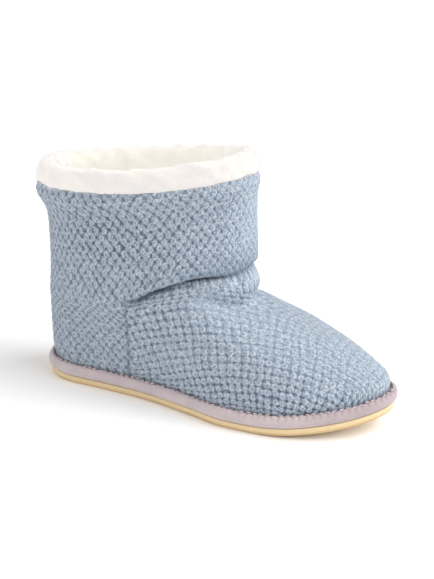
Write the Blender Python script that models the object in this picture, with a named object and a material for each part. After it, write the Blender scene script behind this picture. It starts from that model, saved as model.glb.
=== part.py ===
"""Knit slipper boot, the right shoe, standing empty on its sole.

The toe points to -Y, the heel to +Y and the outer side of the foot to -X, with +Z up. The origin is on the floor
under the middle of the sole. Lengths here are millimetres, and MM turns them into the scene's metres.
"""

import math

import bmesh
import bpy
import numpy as np

MM = 0.001

# Sole
SOLE_LENGTH = 262.0
OUTSOLE_THICKNESS = 5.5
OUTSOLE_UNDERCUT = 0.9
OUTSOLE_BEVEL = 0.8
RAND_THICKNESS = 8.5
INSOLE_THICKNESS = 4.0
INSOLE_BEVEL = 1.2
TOE_SPRING = 14.0
SPRING_START = 0.64
HEEL_ROUND = 36.0
TOE_ROUND = 72.0
TOE_POWER = 2.3

# Seams, walls and the gap between pieces that meet
SEAM_INSET = 3.5
UPPER_WALL = 3.0
INSOLE_EASE = 1.0
GAP = 0.3

# Where the ankle slouches, as shares of each ring's length from the heel
CREASE_START = 0.42
CREASE_FULL = 0.72
CREASE_FADE = 0.88
CREASE_FRONT = 0.5
ROLL_START = 0.78
ROLL_FULL = 0.97
BLUNT_FULL = 0.15
BLUNT_END = 0.55
EGG_START = 0.35
HUMP_START = 0.40
HUMP_PEAK = 0.82
HUMP_INSIDE = 0.3
CLIMB_POWER = 5.0

# Plush rim: two rows of tufts that cross, each by its count round the rim and its turn from ring to ring, how far
# a tuft stands out of the rim, and the point in the rim's section that tufts stand out from
LOCK_COUNTS = (27, 16)
LOCK_TURNS = (2.7, 1.9)
LOCK_RELIEF = 1.3
PLUSH_HEART = (8.0, 5.0)

# Facets
SOLE_AROUND = 80
UPPER_AROUND = 72
PLUSH_AROUND = 105

# Half widths of the sole along its length. share runs from the heel, 0, to the toe, 1. The round ends narrow these
# widths to nothing over HEEL_ROUND and TOE_ROUND.
SOLE_COLUMNS = ("share", "outer", "inner")
SOLE_STATIONS = (
    (0.00, 33.0, 33.0),
    (0.12, 32.0, 33.0),
    (0.25, 32.5, 33.0),
    (0.38, 35.5, 33.5),
    (0.50, 42.0, 38.5),
    (0.62, 48.5, 46.0),
    (0.74, 47.5, 50.0),
    (0.87, 41.5, 45.0),
    (1.00, 35.0, 37.0),
)

# Side of the wrapped rand, from the outsole up to the seam: how far it stands out from the outsole, and its height
# above the outsole.
RAND_COLUMNS = ("grow", "height")
RAND_SIDE = (
    (-0.4, GAP),
    (1.0, 1.5),
    (1.5, 3.6),
    (1.4, 5.6),
    (0.5, 7.6),
    (-1.2, 8.5),
    (-2.6, 8.3),
)

# Section of the plush rim, from its foot inside the shaft, out over the knit edge, over the top and down again.
# level is the ring of the upper that a point hangs on, inset runs in from the knit's outer face, height is the
# rise above that ring, and lock is how much the tufts stand out there.
PLUSH_COLUMNS = ("level", "inset", "height", "lock")
PLUSH_SECTION = (
    (12.3, 3.6, 0.0, 0.0),
    (13.0, 3.6, 0.0, 0.0),
    (13.5, 3.6, 0.3, 0.0),
    (13.5, 0.8, 0.6, 0.0),
    (13.5, 0.1, 2.6, 0.5),
    (13.5, 0.2, 6.4, 1.0),
    (13.5, 1.6, 10.6, 1.0),
    (13.5, 4.6, 14.0, 1.0),
    (13.5, 8.8, 15.0, 1.0),
    (13.5, 12.8, 12.8, 1.0),
    (13.5, 15.4, 8.6, 1.0),
    (13.5, 16.2, 3.0, 1.0),
    (13.5, 15.4, -4.0, 0.8),
    (12.3, 10.0, -2.0, 0.0),
)

# Rings of the knit upper, from the stitched seam at the rand up to the collar. A ring runs from its back point to
# its front point.
#   outer, inner  half widths of the ring's ellipse
#   foot          share of the sole's own outline in the ring, the rest being the ellipse
#   blunt         how much squarer than an ellipse the heel end is
#   egg           how much wider the ellipse is in front than behind
#   grow          how far the outline's share stands out from the seam
#   rise          how early the ring climbs to the front
#   hump, dip     lift beside the instep, and sag at both sides
#   spring        share of the toe spring that lifts the ring
#   fold, roll    how far the slouched ankle stands out at its sides, and over the instep
RING_COLUMNS = (
    "name", "level", "back_y", "back_z", "front_y", "front_z", "outer", "inner",
    "foot", "blunt", "egg", "grow", "rise", "hump", "dip", "spring", "fold", "roll",
)
RINGS = (
    ("seam", 0.0, 127.5, 14.3, -127.5, 14.3, 38.0, 38.0, 1.00, 0.35, 0.00, 0.0, 0.0, 0.0, 0.0, 1.0, 0.0, 0.0),
    ("side", 1.0, 128.2, 22.0, -127.0, 20.5, 39.0, 39.0, 0.94, 0.35, 0.08, 1.3, 0.0, 0.0, 0.0, 1.0, 0.0, 0.0),
    ("toe", 2.0, 128.2, 31.0, -119.5, 31.0, 40.0, 40.5, 0.81, 0.35, 0.13, 1.5, 0.0, 0.0, 0.0, 0.9, 0.0, 0.0),
    ("vamp_low", 3.0, 128.0, 40.5, -104.5, 46.0, 41.0, 42.0, 0.63, 0.33, 0.16, 1.2, 0.1, 0.0, 0.0, 0.5, 0.0, 0.0),
    ("vamp_mid", 4.0, 127.8, 50.0, -82.5, 58.5, 41.5, 42.5, 0.47, 0.28, 0.15, 0.6, 0.3, 0.0, 0.0, 0.1, 0.0, 0.0),
    ("vamp_high", 5.0, 127.6, 59.0, -55.0, 66.5, 41.5, 42.0, 0.33, 0.21, 0.10, 0.3, 0.6, 2.0, 0.0, 0.0, 0.0, 0.0),
    ("throat", 6.0, 127.4, 65.5, -28.0, 73.5, 42.0, 42.0, 0.25, 0.155, 0.04, 0.0, 0.9, 10.0, 0.0, 0.0, -0.5, -0.5),
    ("roll", 7.0, 127.2, 69.5, -28.5, 84.5, 42.0, 42.0, 0.21, 0.125, 0.02, 0.0, 1.0, 6.0, 0.0, 0.0, -0.7, 3.0),
    ("crease", 8.0, 127.2, 73.0, -27.0, 96.5, 42.0, 42.0, 0.18, 0.10, 0.00, 0.0, 1.0, 3.5, 0.0, 0.0, -1.2, 0.3),
    ("lip", 8.5, 127.2, 74.5, -27.0, 96.8, 42.0, 42.0, 0.17, 0.09, 0.00, 0.0, 1.0, 3.0, 0.0, 0.0, 3.8, 0.0),
    ("ankle", 9.5, 127.3, 84.0, -28.0, 107.0, 42.0, 42.0, 0.11, 0.045, 0.00, 0.0, 0.7, 1.0, 0.0, 0.0, 2.8, 0.0),
    ("shaft", 11.0, 127.6, 104.0, -28.5, 128.0, 42.0, 42.0, 0.03, 0.01, 0.00, 0.0, 0.2, 0.0, 0.0, 0.0, 0.8, 0.0),
    ("flare", 12.0, 128.8, 122.0, -29.0, 145.5, 42.8, 42.5, 0.00, 0.00, 0.00, 0.0, 0.0, 0.0, 1.0, 0.0, 0.0, 0.0),
    ("collar", 13.0, 136.0, 138.0, -30.8, 158.5, 47.5, 46.5, 0.00, 0.00, 0.00, 0.0, 0.0, 0.0, 3.0, 0.0, 0.0, 0.0),
    ("edge", 13.5, 134.6, 143.5, -29.2, 162.5, 46.0, 45.0, 0.00, 0.00, 0.00, 0.0, 0.0, 0.0, 3.0, 0.0, 0.0, 0.0),
)
SEAM_LEVEL = 0.0
EDGE_LEVEL = 13.5
LEVEL_STEP = 0.5
OUTSIDE_LEVELS = (
    0.0, 0.5, 1.0, 1.5, 2.0, 2.5, 3.0, 3.5, 4.0, 4.5, 5.0, 5.5, 6.0, 6.33, 6.67, 7.0, 7.4, 7.7, 8.0,
    8.25, 8.5, 8.8, 9.2, 9.8, 10.6, 11.4, 12.0, 12.5, 13.0, 13.5,
)
INSIDE_LEVELS = (0.0, 0.7, 1.4, 2.2, 3.0, 4.0, 5.0, 6.0, 7.0, 8.0, 9.2, 10.6, 12.3, 13.0, 13.5)


def interpolate(rows, columns, key, column, at):
    """Smooth curve through one named column of a table, with no overshoot, read at values of the key column."""
    xs = np.array([row[columns.index(key)] for row in rows], float)
    ys = np.array([row[columns.index(column)] for row in rows], float)
    at = np.asarray(at, float)
    chords = np.diff(ys) / np.diff(xs)
    slopes = np.concatenate([chords[:1], (chords[:-1] + chords[1:]) / 2, chords[-1:]])
    for i in range(1, len(chords)):
        steepest = 3 * min(abs(chords[i - 1]), abs(chords[i]))
        turns = chords[i - 1] * chords[i] <= 0
        slopes[i] = 0.0 if turns else math.copysign(min(abs(slopes[i]), steepest), chords[i])
    cell = np.clip(np.searchsorted(xs, at, side="right") - 1, 0, len(xs) - 2)
    width = xs[cell + 1] - xs[cell]
    t = (at - xs[cell]) / width
    return (
        ys[cell] * (2 * t**3 - 3 * t**2 + 1)
        + slopes[cell] * width * (t**3 - 2 * t**2 + t)
        + ys[cell + 1] * (3 * t**2 - 2 * t**3)
        + slopes[cell + 1] * width * (t**3 - t**2)
    )


def ease(value, start, full):
    """0 up to start, 1 from full on, and smooth between."""
    u = np.clip((value - start) / (full - start), 0, 1)
    return u * u * (3 - 2 * u)


def toe_spring(y):
    """Lift of the sole towards the toe."""
    share = (SOLE_LENGTH / 2 - y) / SOLE_LENGTH
    u = np.clip((share - SPRING_START) / (1 - SPRING_START), 0, None)
    return TOE_SPRING * u**2


def around(count):
    """Angles round the boot from the back over the outer side, and the share of the length that each reaches."""
    angle = np.arange(count) * 2 * math.pi / count
    return angle, (1 - np.cos(angle)) / 2


def offset(plan, distance):
    """Closed plan curve moved outwards along its own normal."""
    tangent = np.roll(plan, -1, axis=0) - np.roll(plan, 1, axis=0)
    tangent /= np.linalg.norm(tangent, axis=1)[:, None]
    normal = np.column_stack([tangent[:, 1], -tangent[:, 0]])
    return plan + normal * np.reshape(distance, (-1, 1))


def sole_outline(count):
    """Plan of the sole, round from the back over the outer side."""
    angle, share = around(count)
    along = share * SOLE_LENGTH
    cap = np.ones(count)
    heel = along < HEEL_ROUND
    cap[heel] = np.sqrt(1 - ((HEEL_ROUND - along[heel]) / HEEL_ROUND) ** 2)
    toe = along > SOLE_LENGTH - TOE_ROUND
    toe_share = (along[toe] - (SOLE_LENGTH - TOE_ROUND)) / TOE_ROUND
    cap[toe] = np.sqrt(np.clip(1 - toe_share**TOE_POWER, 0, 1))
    outer = interpolate(SOLE_STATIONS, SOLE_COLUMNS, "share", "outer", share)
    inner = interpolate(SOLE_STATIONS, SOLE_COLUMNS, "share", "inner", share)
    x = np.where(angle <= math.pi, -outer, inner) * cap
    return np.column_stack([x, SOLE_LENGTH / 2 - along])


def sole_ring(grow, height):
    """Ring of the sole, grown in plan and lifted by the toe spring."""
    plan = offset(sole_outline(SOLE_AROUND), grow)
    return np.column_stack([plan, height + toe_spring(plan[:, 1])])


def upper_ring(level, slouch=True, count=UPPER_AROUND):
    """Ring of the knit upper at a level between the rows of RINGS, with or without the slouched ankle."""
    row = {name: float(interpolate(RINGS, RING_COLUMNS, "level", name, level)) for name in RING_COLUMNS[2:]}
    angle, share = around(count)
    outline = offset(sole_outline(count), row["grow"] - SEAM_INSET)
    half_width = np.where(angle <= math.pi, row["outer"], row["inner"])
    power = 1 - row["blunt"] * (1 - ease(share, BLUNT_FULL, BLUNT_END))
    ellipse = np.sign(np.sin(angle)) * np.abs(np.sin(angle)) ** power * half_width
    ellipse *= 1 + row["egg"] * ease(share, EGG_START, 1.0)
    x = row["foot"] * outline[:, 0] - (1 - row["foot"]) * ellipse
    y = row["back_y"] + (row["front_y"] - row["back_y"]) * share
    plan = np.column_stack([x, y])
    if slouch:
        crease = ease(share, CREASE_START, CREASE_FULL) * (1 - (1 - CREASE_FRONT) * ease(share, CREASE_FADE, 1.0))
        plan = offset(plan, row["fold"] * crease + row["roll"] * ease(share, ROLL_START, ROLL_FULL))
    climb = (1 - row["rise"]) * share + row["rise"] * np.sin(share * math.pi / 2) ** CLIMB_POWER
    hump = ease(share, HUMP_START, HUMP_PEAK) * (1 - ease(share, HUMP_PEAK, 1.0))
    hump *= np.where(angle <= math.pi, 1.0, HUMP_INSIDE)
    z = row["back_z"] + (row["front_z"] - row["back_z"]) * climb
    z += row["hump"] * hump - row["dip"] * np.sin(angle) ** 2 + row["spring"] * toe_spring(y)
    return np.column_stack([plan, z])


def ring_inside(level, inset, count):
    """Smooth ring of the upper moved in square to its surface. At the seam and the edge it stays level with them."""
    low = max(level - LEVEL_STEP, SEAM_LEVEL)
    high = min(level + LEVEL_STEP, EDGE_LEVEL)
    ring = upper_ring(level, slouch=False, count=count)
    along = np.roll(ring, -1, axis=0) - np.roll(ring, 1, axis=0)
    up = upper_ring(high, slouch=False, count=count) - upper_ring(low, slouch=False, count=count)
    normal = np.cross(along, up)
    normal /= np.linalg.norm(normal, axis=1)[:, None]
    moved = ring - inset * normal
    if level == SEAM_LEVEL:
        moved[:, 2] = OUTSOLE_THICKNESS + RAND_THICKNESS + GAP + toe_spring(moved[:, 1])
    if level == EDGE_LEVEL:
        moved[:, 2] = ring[:, 2]
    return moved


def plush_rings():
    """Rings across the plush rim, with tufts that stand out from the heart of its section."""
    angle, _ = around(PLUSH_AROUND)
    rings = []
    for step, row in enumerate(PLUSH_SECTION):
        level, inset, height, lock = (row[PLUSH_COLUMNS.index(name)] for name in PLUSH_COLUMNS)
        waves = [np.cos(angle * count + turn * step) for count, turn in zip(LOCK_COUNTS, LOCK_TURNS)]
        tuft = LOCK_RELIEF * lock * np.mean(waves, axis=0)
        inward, upward = inset - PLUSH_HEART[0], height - PLUSH_HEART[1]
        reach = math.hypot(inward, upward)
        ring = ring_inside(level, inset, PLUSH_AROUND)
        plan = offset(ring[:, :2], -tuft * inward / reach)
        rings.append(np.column_stack([plan, ring[:, 2] + height + tuft * upward / reach]))
    return rings


def make_material(name, colour, roughness):
    """Principled material from an sRGB hex colour."""
    material = bpy.data.materials.new(name)
    material.use_nodes = True
    shader = material.node_tree.nodes["Principled BSDF"]
    channels = [int(colour[i:i + 2], 16) / 255 for i in (1, 3, 5)]
    linear = [c / 12.92 if c <= 0.04045 else ((c + 0.055) / 1.055) ** 2.4 for c in channels]
    shader.inputs["Base Color"].default_value = (*linear, 1.0)
    shader.inputs["Roughness"].default_value = roughness
    shader.inputs["Metallic"].default_value = 0.0
    return material


def bridge(mesh, lower, upper):
    """Quads between two rings of vertices."""
    count = len(lower)
    for i in range(count):
        j = (i + 1) % count
        mesh.faces.new((lower[i], lower[j], upper[j], upper[i]))


def close_end(mesh, ring, facing_up):
    """Cap over a sole ring: strips from side to side, which follow the toe spring."""
    half = len(ring) // 2
    for i in range(half):
        face = [ring[i], ring[i + 1], ring[-i - 1], ring[-i]]
        corners = list(dict.fromkeys(face))
        mesh.faces.new(corners if facing_up else corners[::-1])


def loft(name, rings, material, collection, ends):
    """Solid through closed rings. ends is 'caps' for a sole piece and 'joined' where the last ring meets the first."""
    mesh = bmesh.new()
    rows = [[mesh.verts.new(point * MM) for point in ring] for ring in rings]
    for lower, upper in zip(rows, rows[1:]):
        bridge(mesh, lower, upper)
    if ends == "caps":
        close_end(mesh, rows[0], facing_up=False)
        close_end(mesh, rows[-1], facing_up=True)
    else:
        bridge(mesh, rows[-1], rows[0])
    bmesh.ops.recalc_face_normals(mesh, faces=mesh.faces)
    data = bpy.data.meshes.new(name)
    mesh.to_mesh(data)
    mesh.free()
    data.shade_smooth()
    data.materials.append(material)
    piece = bpy.data.objects.new(name, data)
    collection.objects.link(piece)
    return piece


def make_outsole(collection):
    """Thin sole sheet, cut back a little under the rand."""
    rings = [
        sole_ring(-OUTSOLE_UNDERCUT - OUTSOLE_BEVEL, 0.0),
        sole_ring(-OUTSOLE_UNDERCUT, OUTSOLE_BEVEL),
        sole_ring(0.0, OUTSOLE_THICKNESS),
    ]
    return loft("outsole", rings, make_material("tan_sole_rubber", "#E3C793", 0.6), collection, "caps")


def make_midsole(collection):
    """Rand board wrapped in cloth, with a rounded side that stands proud of the outsole."""
    grow, height = RAND_COLUMNS.index("grow"), RAND_COLUMNS.index("height")
    rings = [sole_ring(row[grow], OUTSOLE_THICKNESS + row[height]) for row in RAND_SIDE]
    return loft("midsole", rings, make_material("mauve_rand_cloth", "#C6BCC6", 0.85), collection, "caps")


def make_insole(collection):
    """Footbed inside the upper, with a softened top edge."""
    edge = -SEAM_INSET - UPPER_WALL - INSOLE_EASE
    bed = OUTSOLE_THICKNESS + RAND_THICKNESS + GAP
    rings = [
        sole_ring(edge, bed),
        sole_ring(edge, bed + INSOLE_THICKNESS - INSOLE_BEVEL),
        sole_ring(edge - INSOLE_BEVEL, bed + INSOLE_THICKNESS),
    ]
    return loft("insole", rings, make_material("cream_footbed", "#EFE8DC", 0.95), collection, "caps")


def make_upper(collection):
    """Knit vamp, heel and shaft as one hollow wall, open at the collar and underneath."""
    outside = [upper_ring(level) for level in OUTSIDE_LEVELS]
    inside = [ring_inside(level, UPPER_WALL, UPPER_AROUND) for level in reversed(INSIDE_LEVELS)]
    return loft("upper", outside + inside, make_material("blue_knit", "#B4C3D2", 0.95), collection, "joined")


def make_plush(collection):
    """Deep plush that stands above the knit edge all the way round."""
    return loft("fleece_collar", plush_rings(), make_material("cream_plush", "#F4EFE8", 1.0), collection, "joined")


def clear_scene():
    """Remove the objects that the file opened with."""
    for item in list(bpy.data.objects):
        bpy.data.objects.remove(item, do_unlink=True)


def main():
    """Build the boot's pieces in one collection."""
    clear_scene()
    collection = bpy.data.collections.new("knit_slipper_boot")
    bpy.context.scene.collection.children.link(collection)
    make_outsole(collection)
    make_midsole(collection)
    make_insole(collection)
    make_upper(collection)
    make_plush(collection)


main()
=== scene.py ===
"""Knit slipper boot, the right shoe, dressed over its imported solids.

The toe points to -Y, the heel to +Y and the outer side of the foot to -X, with +Z up. Shapes are worked out
in millimetres, and MM turns them into the scene's metres. A place on the upper is a level, counted from the
seam at the rand, 0, to the collar's edge, 13.5, and an angle round the boot from its back over the outside.
"""

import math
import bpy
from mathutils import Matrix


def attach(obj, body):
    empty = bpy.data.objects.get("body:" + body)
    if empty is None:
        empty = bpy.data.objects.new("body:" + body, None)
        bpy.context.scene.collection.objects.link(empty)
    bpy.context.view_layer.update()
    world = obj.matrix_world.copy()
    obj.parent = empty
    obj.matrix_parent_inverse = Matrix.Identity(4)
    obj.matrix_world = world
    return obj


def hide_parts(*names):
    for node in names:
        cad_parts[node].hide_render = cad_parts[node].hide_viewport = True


bl_info = {
    "name": "Knit Slipper Boot",
    "version": (1, 0, 0),
    "blender": (4, 5, 0),
    "location": "3D Viewport > Sidebar > Boot",
    "description": "Knit, plush, rand and sole of an ankle-high slipper boot, with its studio stage",
    "category": "Object",
}

import bpy
import numpy as np
from bpy.props import FloatProperty, FloatVectorProperty, IntProperty, PointerProperty
from mathutils import Matrix, Vector

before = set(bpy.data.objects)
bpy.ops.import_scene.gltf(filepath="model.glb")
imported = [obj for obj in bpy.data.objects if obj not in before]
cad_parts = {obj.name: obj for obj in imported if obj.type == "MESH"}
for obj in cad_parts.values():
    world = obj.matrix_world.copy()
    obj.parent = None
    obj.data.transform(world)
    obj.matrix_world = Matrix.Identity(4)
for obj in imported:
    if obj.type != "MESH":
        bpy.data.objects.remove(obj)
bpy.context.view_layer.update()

MM = 0.001
TURN = 2 * math.pi

# Sole
SOLE_LENGTH = 262.0
OUTSOLE_THICKNESS = 5.5
RAND_THICKNESS = 8.5
INSOLE_THICKNESS = 4.0
TOE_SPRING = 14.0
SPRING_START = 0.64
HEEL_ROUND = 36.0
TOE_ROUND = 72.0
TOE_POWER = 2.3
SEAM_INSET = 3.5
UPPER_WALL = 3.0
GAP = 0.3

# Slouched ankle, as shares of each ring's length from the heel
CREASE_START = 0.42
CREASE_FULL = 0.72
CREASE_FADE = 0.88
CREASE_FRONT = 0.5
ROLL_START = 0.78
ROLL_FULL = 0.97
BLUNT_FULL = 0.15
BLUNT_END = 0.55
EGG_START = 0.35
HUMP_START = 0.40
HUMP_PEAK = 0.82
HUMP_INSIDE = 0.3
CLIMB_POWER = 5.0

# Half widths of the sole along its length, share running from the heel, 0, to the toe, 1
SOLE_COLUMNS = ("share", "outer", "inner")
SOLE_STATIONS = (
    (0.00, 33.0, 33.0),
    (0.12, 32.0, 33.0),
    (0.25, 32.5, 33.0),
    (0.38, 35.5, 33.5),
    (0.50, 42.0, 38.5),
    (0.62, 48.5, 46.0),
    (0.74, 47.5, 50.0),
    (0.87, 41.5, 45.0),
    (1.00, 35.0, 37.0),
)

# Sides of the outsole and the rand from underneath to the top, as how far they stand out from the outsole's
# plan and the height over their own underside
SOLE_SIDE = (
    (-2.4, 0.0), (-1.5, 0.1), (-0.9, 0.8), (-0.72, 1.8), (-0.62, 2.05), (-0.35, 2.3), (-0.15, 4.2),
    (0.0, 5.1), (-0.3, 5.5), (-9.0, 5.5),
)
RAND_SIDE = (
    (-9.0, 0.35), (-0.4, 0.35), (0.55, 0.75), (1.15, 1.7), (1.5, 3.6), (1.4, 5.4), (0.75, 7.1),
    (-0.3, 8.15), (-1.3, 8.5), (-2.2, 8.35), (-3.0, 7.9), (-6.0, 7.9),
)

# Tread: how far its edge stands out, its ribs, and the depth and length of their waves
TREAD_EDGE = -2.4
TREAD_PITCH = 6.0
TREAD_HEIGHT = 0.9
TREAD_WAVE = (3.0, 24.0)

# Cloth of the rand, and the line and half sizes of its stitches
PLEAT_DEPTH = 0.42
PLEAT_SWELL = 0.15
WRINKLE_DEPTH = 0.30
STITCH_LINE = (-1.7, 8.75)
STITCH_SIZE = (1.75 * MM, 0.72 * MM, 0.62 * MM)
STITCH_LEAN = math.radians(14)

# Footbed and pile lining
FOOTBED_CLEARANCE = 1.1
FOOTBED_FALL = 3.6
LINING_INSET = 3.1
LINING_LEVELS = (0.02, 12.9)
PILE_LIFT = 0.9

# Section of the plush rim: level and inset of the ring it hangs on, height above it, and share of the tufts
PLUSH_SECTION = (
    (12.3, 3.6, 0.0, 0.0),
    (13.0, 3.6, 0.0, 0.0),
    (13.5, 3.4, 0.0, 0.0),
    (13.5, 1.7, 0.2, 0.5),
    (13.5, 0.0, 1.6, 0.9),
    (13.5, -0.2, 5.8, 1.0),
    (13.5, 1.8, 10.6, 1.0),
    (13.5, 4.6, 14.0, 1.0),
    (13.5, 8.8, 15.0, 1.0),
    (13.5, 12.8, 12.8, 1.0),
    (13.5, 15.4, 8.6, 1.0),
    (13.5, 16.2, 3.0, 1.0),
    (13.5, 15.4, -4.0, 0.9),
    (12.3, 10.0, -2.0, 0.3),
)
PLUSH_HEART = (8.0, 5.0)
PLUSH_GRID = (132, 620)

# Rings of the knit upper, with the names and meanings that the part's source gives them
RING_COLUMNS = (
    "level", "back_y", "back_z", "front_y", "front_z", "outer", "inner",
    "foot", "blunt", "egg", "grow", "rise", "hump", "dip", "spring", "fold", "roll",
)
RINGS = (
    (0.0, 127.5, 14.3, -127.5, 14.3, 38.0, 38.0, 1.00, 0.35, 0.00, 0.0, 0.0, 0.0, 0.0, 1.0, 0.0, 0.0),
    (1.0, 128.2, 22.0, -127.0, 20.5, 39.0, 39.0, 0.94, 0.35, 0.08, 1.3, 0.0, 0.0, 0.0, 1.0, 0.0, 0.0),
    (2.0, 128.2, 31.0, -119.5, 31.0, 40.0, 40.5, 0.81, 0.35, 0.13, 1.5, 0.0, 0.0, 0.0, 0.9, 0.0, 0.0),
    (3.0, 128.0, 40.5, -104.5, 46.0, 41.0, 42.0, 0.63, 0.33, 0.16, 1.2, 0.1, 0.0, 0.0, 0.5, 0.0, 0.0),
    (4.0, 127.8, 50.0, -82.5, 58.5, 41.5, 42.5, 0.47, 0.28, 0.15, 0.6, 0.3, 0.0, 0.0, 0.1, 0.0, 0.0),
    (5.0, 127.6, 59.0, -55.0, 66.5, 41.5, 42.0, 0.33, 0.21, 0.10, 0.3, 0.6, 2.0, 0.0, 0.0, 0.0, 0.0),
    (6.0, 127.4, 65.5, -28.0, 73.5, 42.0, 42.0, 0.25, 0.155, 0.04, 0.0, 0.9, 10.0, 0.0, 0.0, -0.5, -0.5),
    (7.0, 127.2, 69.5, -28.5, 84.5, 42.0, 42.0, 0.21, 0.125, 0.02, 0.0, 1.0, 6.0, 0.0, 0.0, -0.7, 3.0),
    (8.0, 127.2, 73.0, -27.0, 96.5, 42.0, 42.0, 0.18, 0.10, 0.00, 0.0, 1.0, 3.5, 0.0, 0.0, -1.2, 0.3),
    (8.5, 127.2, 74.5, -27.0, 96.8, 42.0, 42.0, 0.17, 0.09, 0.00, 0.0, 1.0, 3.0, 0.0, 0.0, 3.8, 0.0),
    (9.5, 127.3, 84.0, -28.0, 107.0, 42.0, 42.0, 0.11, 0.045, 0.00, 0.0, 0.7, 1.0, 0.0, 0.0, 2.8, 0.0),
    (11.0, 127.6, 104.0, -28.5, 128.0, 42.0, 42.0, 0.03, 0.01, 0.00, 0.0, 0.2, 0.0, 0.0, 0.0, 0.8, 0.0),
    (12.0, 128.8, 122.0, -29.0, 145.5, 42.8, 42.5, 0.00, 0.00, 0.00, 0.0, 0.0, 0.0, 1.0, 0.0, 0.0, 0.0),
    (13.0, 136.0, 138.0, -30.8, 158.5, 47.5, 46.5, 0.00, 0.00, 0.00, 0.0, 0.0, 0.0, 3.0, 0.0, 0.0, 0.0),
    (13.5, 134.6, 143.5, -29.2, 162.5, 46.0, 45.0, 0.00, 0.00, 0.00, 0.0, 0.0, 0.0, 3.0, 0.0, 0.0, 0.0),
)
CREASE_LEVEL = 8.0
THROAT_LEVEL = 6.0
EDGE_LEVEL = 13.5

# Side seam between the leg piece and the vamp: its place along the foot, at the rand and up at the crease
SIDE_SEAM_LOW = 52.3
SIDE_SEAM_HIGH = 46.0
SEAM_TOP_LEVEL = 7.3
SEAM_DIVE = 0.8
SEAM_SOFTNESS = 1.25

# Tucks where the leg piece slouches over the vamp's top edge, and where the ankle fold goes in behind itself:
# ridges and troughs along the way up from each, with lift, middle and half width
OVERHANG = ((1.7, 3.4, 2.7), (-2.6, 0.0, 1.2))
POCKET = ((1.3, 4.6, 3.2), (-3.2, 0.0, 1.5))

# Shares of a ring's length from the heel between which these come in or fade out
OVERHANG_IN = (0.52, 0.58)
OVERHANG_OUT = (0.76, 0.83)
POCKET_IN = (0.74, 0.80)
POCKET_OUT = (0.86, 0.97)
ROLL_IN = (0.79, 0.86)
SHADOW_IN = (0.72, 0.84)
SHADOW_WIDENS = (0.84, 0.95)
INSTEP_IN = (0.72, 0.80)

# Painted shade that darkens the cloth in its seams, in the two tucks and beside the ankle fold
SEAM_SHADE = 0.55
TUCK_SHADE = 0.85
FOLD_SHADE = 0.5

# Lie of the leg's stitches: how they crowd towards the front, how their rows tilt on top of the rings, and
# the angle at which their height is counted
LEG_CROWD = 0.59
LEG_CROWD_START = 0.6
LEG_TILT = 0.06
LEG_SIDE = math.radians(72)

# Lie of the vamp's stitches: columns, counted along the foot, and rows, counted up to the ridge over the
# instep. A line for each level from 0 to 8, and in it a value every 15 degrees from 60 to 180.
VAMP_COLUMNS = (
    (-28.7, -23.4, -17.8, -11.6, -5.1, 1.0, 6.0, 9.3, 9.8),
    (-28.6, -23.5, -18.0, -11.7, -5.2, 0.4, 4.7, 8.0, 8.5),
    (-28.3, -23.5, -18.0, -12.2, -6.2, -1.0, 3.1, 6.1, 6.7),
    (-28.3, -23.6, -18.8, -13.5, -8.3, -3.5, 0.4, 3.2, 3.8),
    (-28.6, -24.3, -20.2, -15.7, -11.1, -6.8, -3.3, -0.7, 0.0),
    (-29.3, -25.5, -21.9, -18.2, -14.2, -10.5, -7.6, -5.5, -4.6),
    (-30.3, -26.9, -23.2, -20.3, -17.0, -13.8, -11.3, -9.4, -8.2),
    (-31.0, -27.4, -23.7, -20.2, -17.0, -13.9, -11.1, -8.7, -6.3),
    (-31.3, -27.6, -23.9, -20.3, -17.0, -13.9, -11.1, -8.6, -6.2),
)
VAMP_ROWS = (
    (-10.0, -12.2, -14.4, -16.0, -16.1, -13.9, -9.5, -4.1, 0.0),
    (-8.0, -10.2, -12.5, -14.4, -14.6, -12.7, -9.3, -4.3, 0.0),
    (-6.0, -8.2, -10.5, -12.3, -12.8, -11.3, -8.3, -4.3, 0.0),
    (-4.0, -6.0, -8.0, -9.6, -10.1, -9.2, -7.1, -3.7, 0.0),
    (-2.1, -3.8, -5.6, -6.9, -7.4, -6.8, -5.2, -3.0, 0.0),
    (-0.3, -1.8, -3.3, -4.3, -4.7, -4.2, -3.2, -1.9, 0.0),
    (1.5, 0.2, -1.0, -1.3, -1.3, -1.2, -1.2, -0.7, 0.1),
    (2.9, 1.7, 0.6, 0.3, 0.5, 0.8, 1.0, 1.5, 2.3),
    (3.9, 2.7, 1.9, 1.8, 2.3, 2.8, 3.2, 3.9, 4.7),
)

# Level of the slouched crease, and of the vamp's top edge, by share of the ring's length from the heel
PATH_COLUMNS = ("share", "crease", "cut")
PATHS = (
    (0.50, 7.25, 7.30),
    (0.545, 7.30, 7.30),
    (0.60, 7.50, 7.50),
    (0.65, 7.75, 7.75),
    (0.70, 7.93, 7.93),
    (0.745, 8.03, 8.00),
    (0.79, 8.08, 7.60),
    (0.83, 8.02, 7.15),
    (0.90, 8.00, 7.05),
    (0.95, 8.35, 7.00),
    (1.00, 8.80, 6.70),
)


# Shape of the boot


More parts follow.
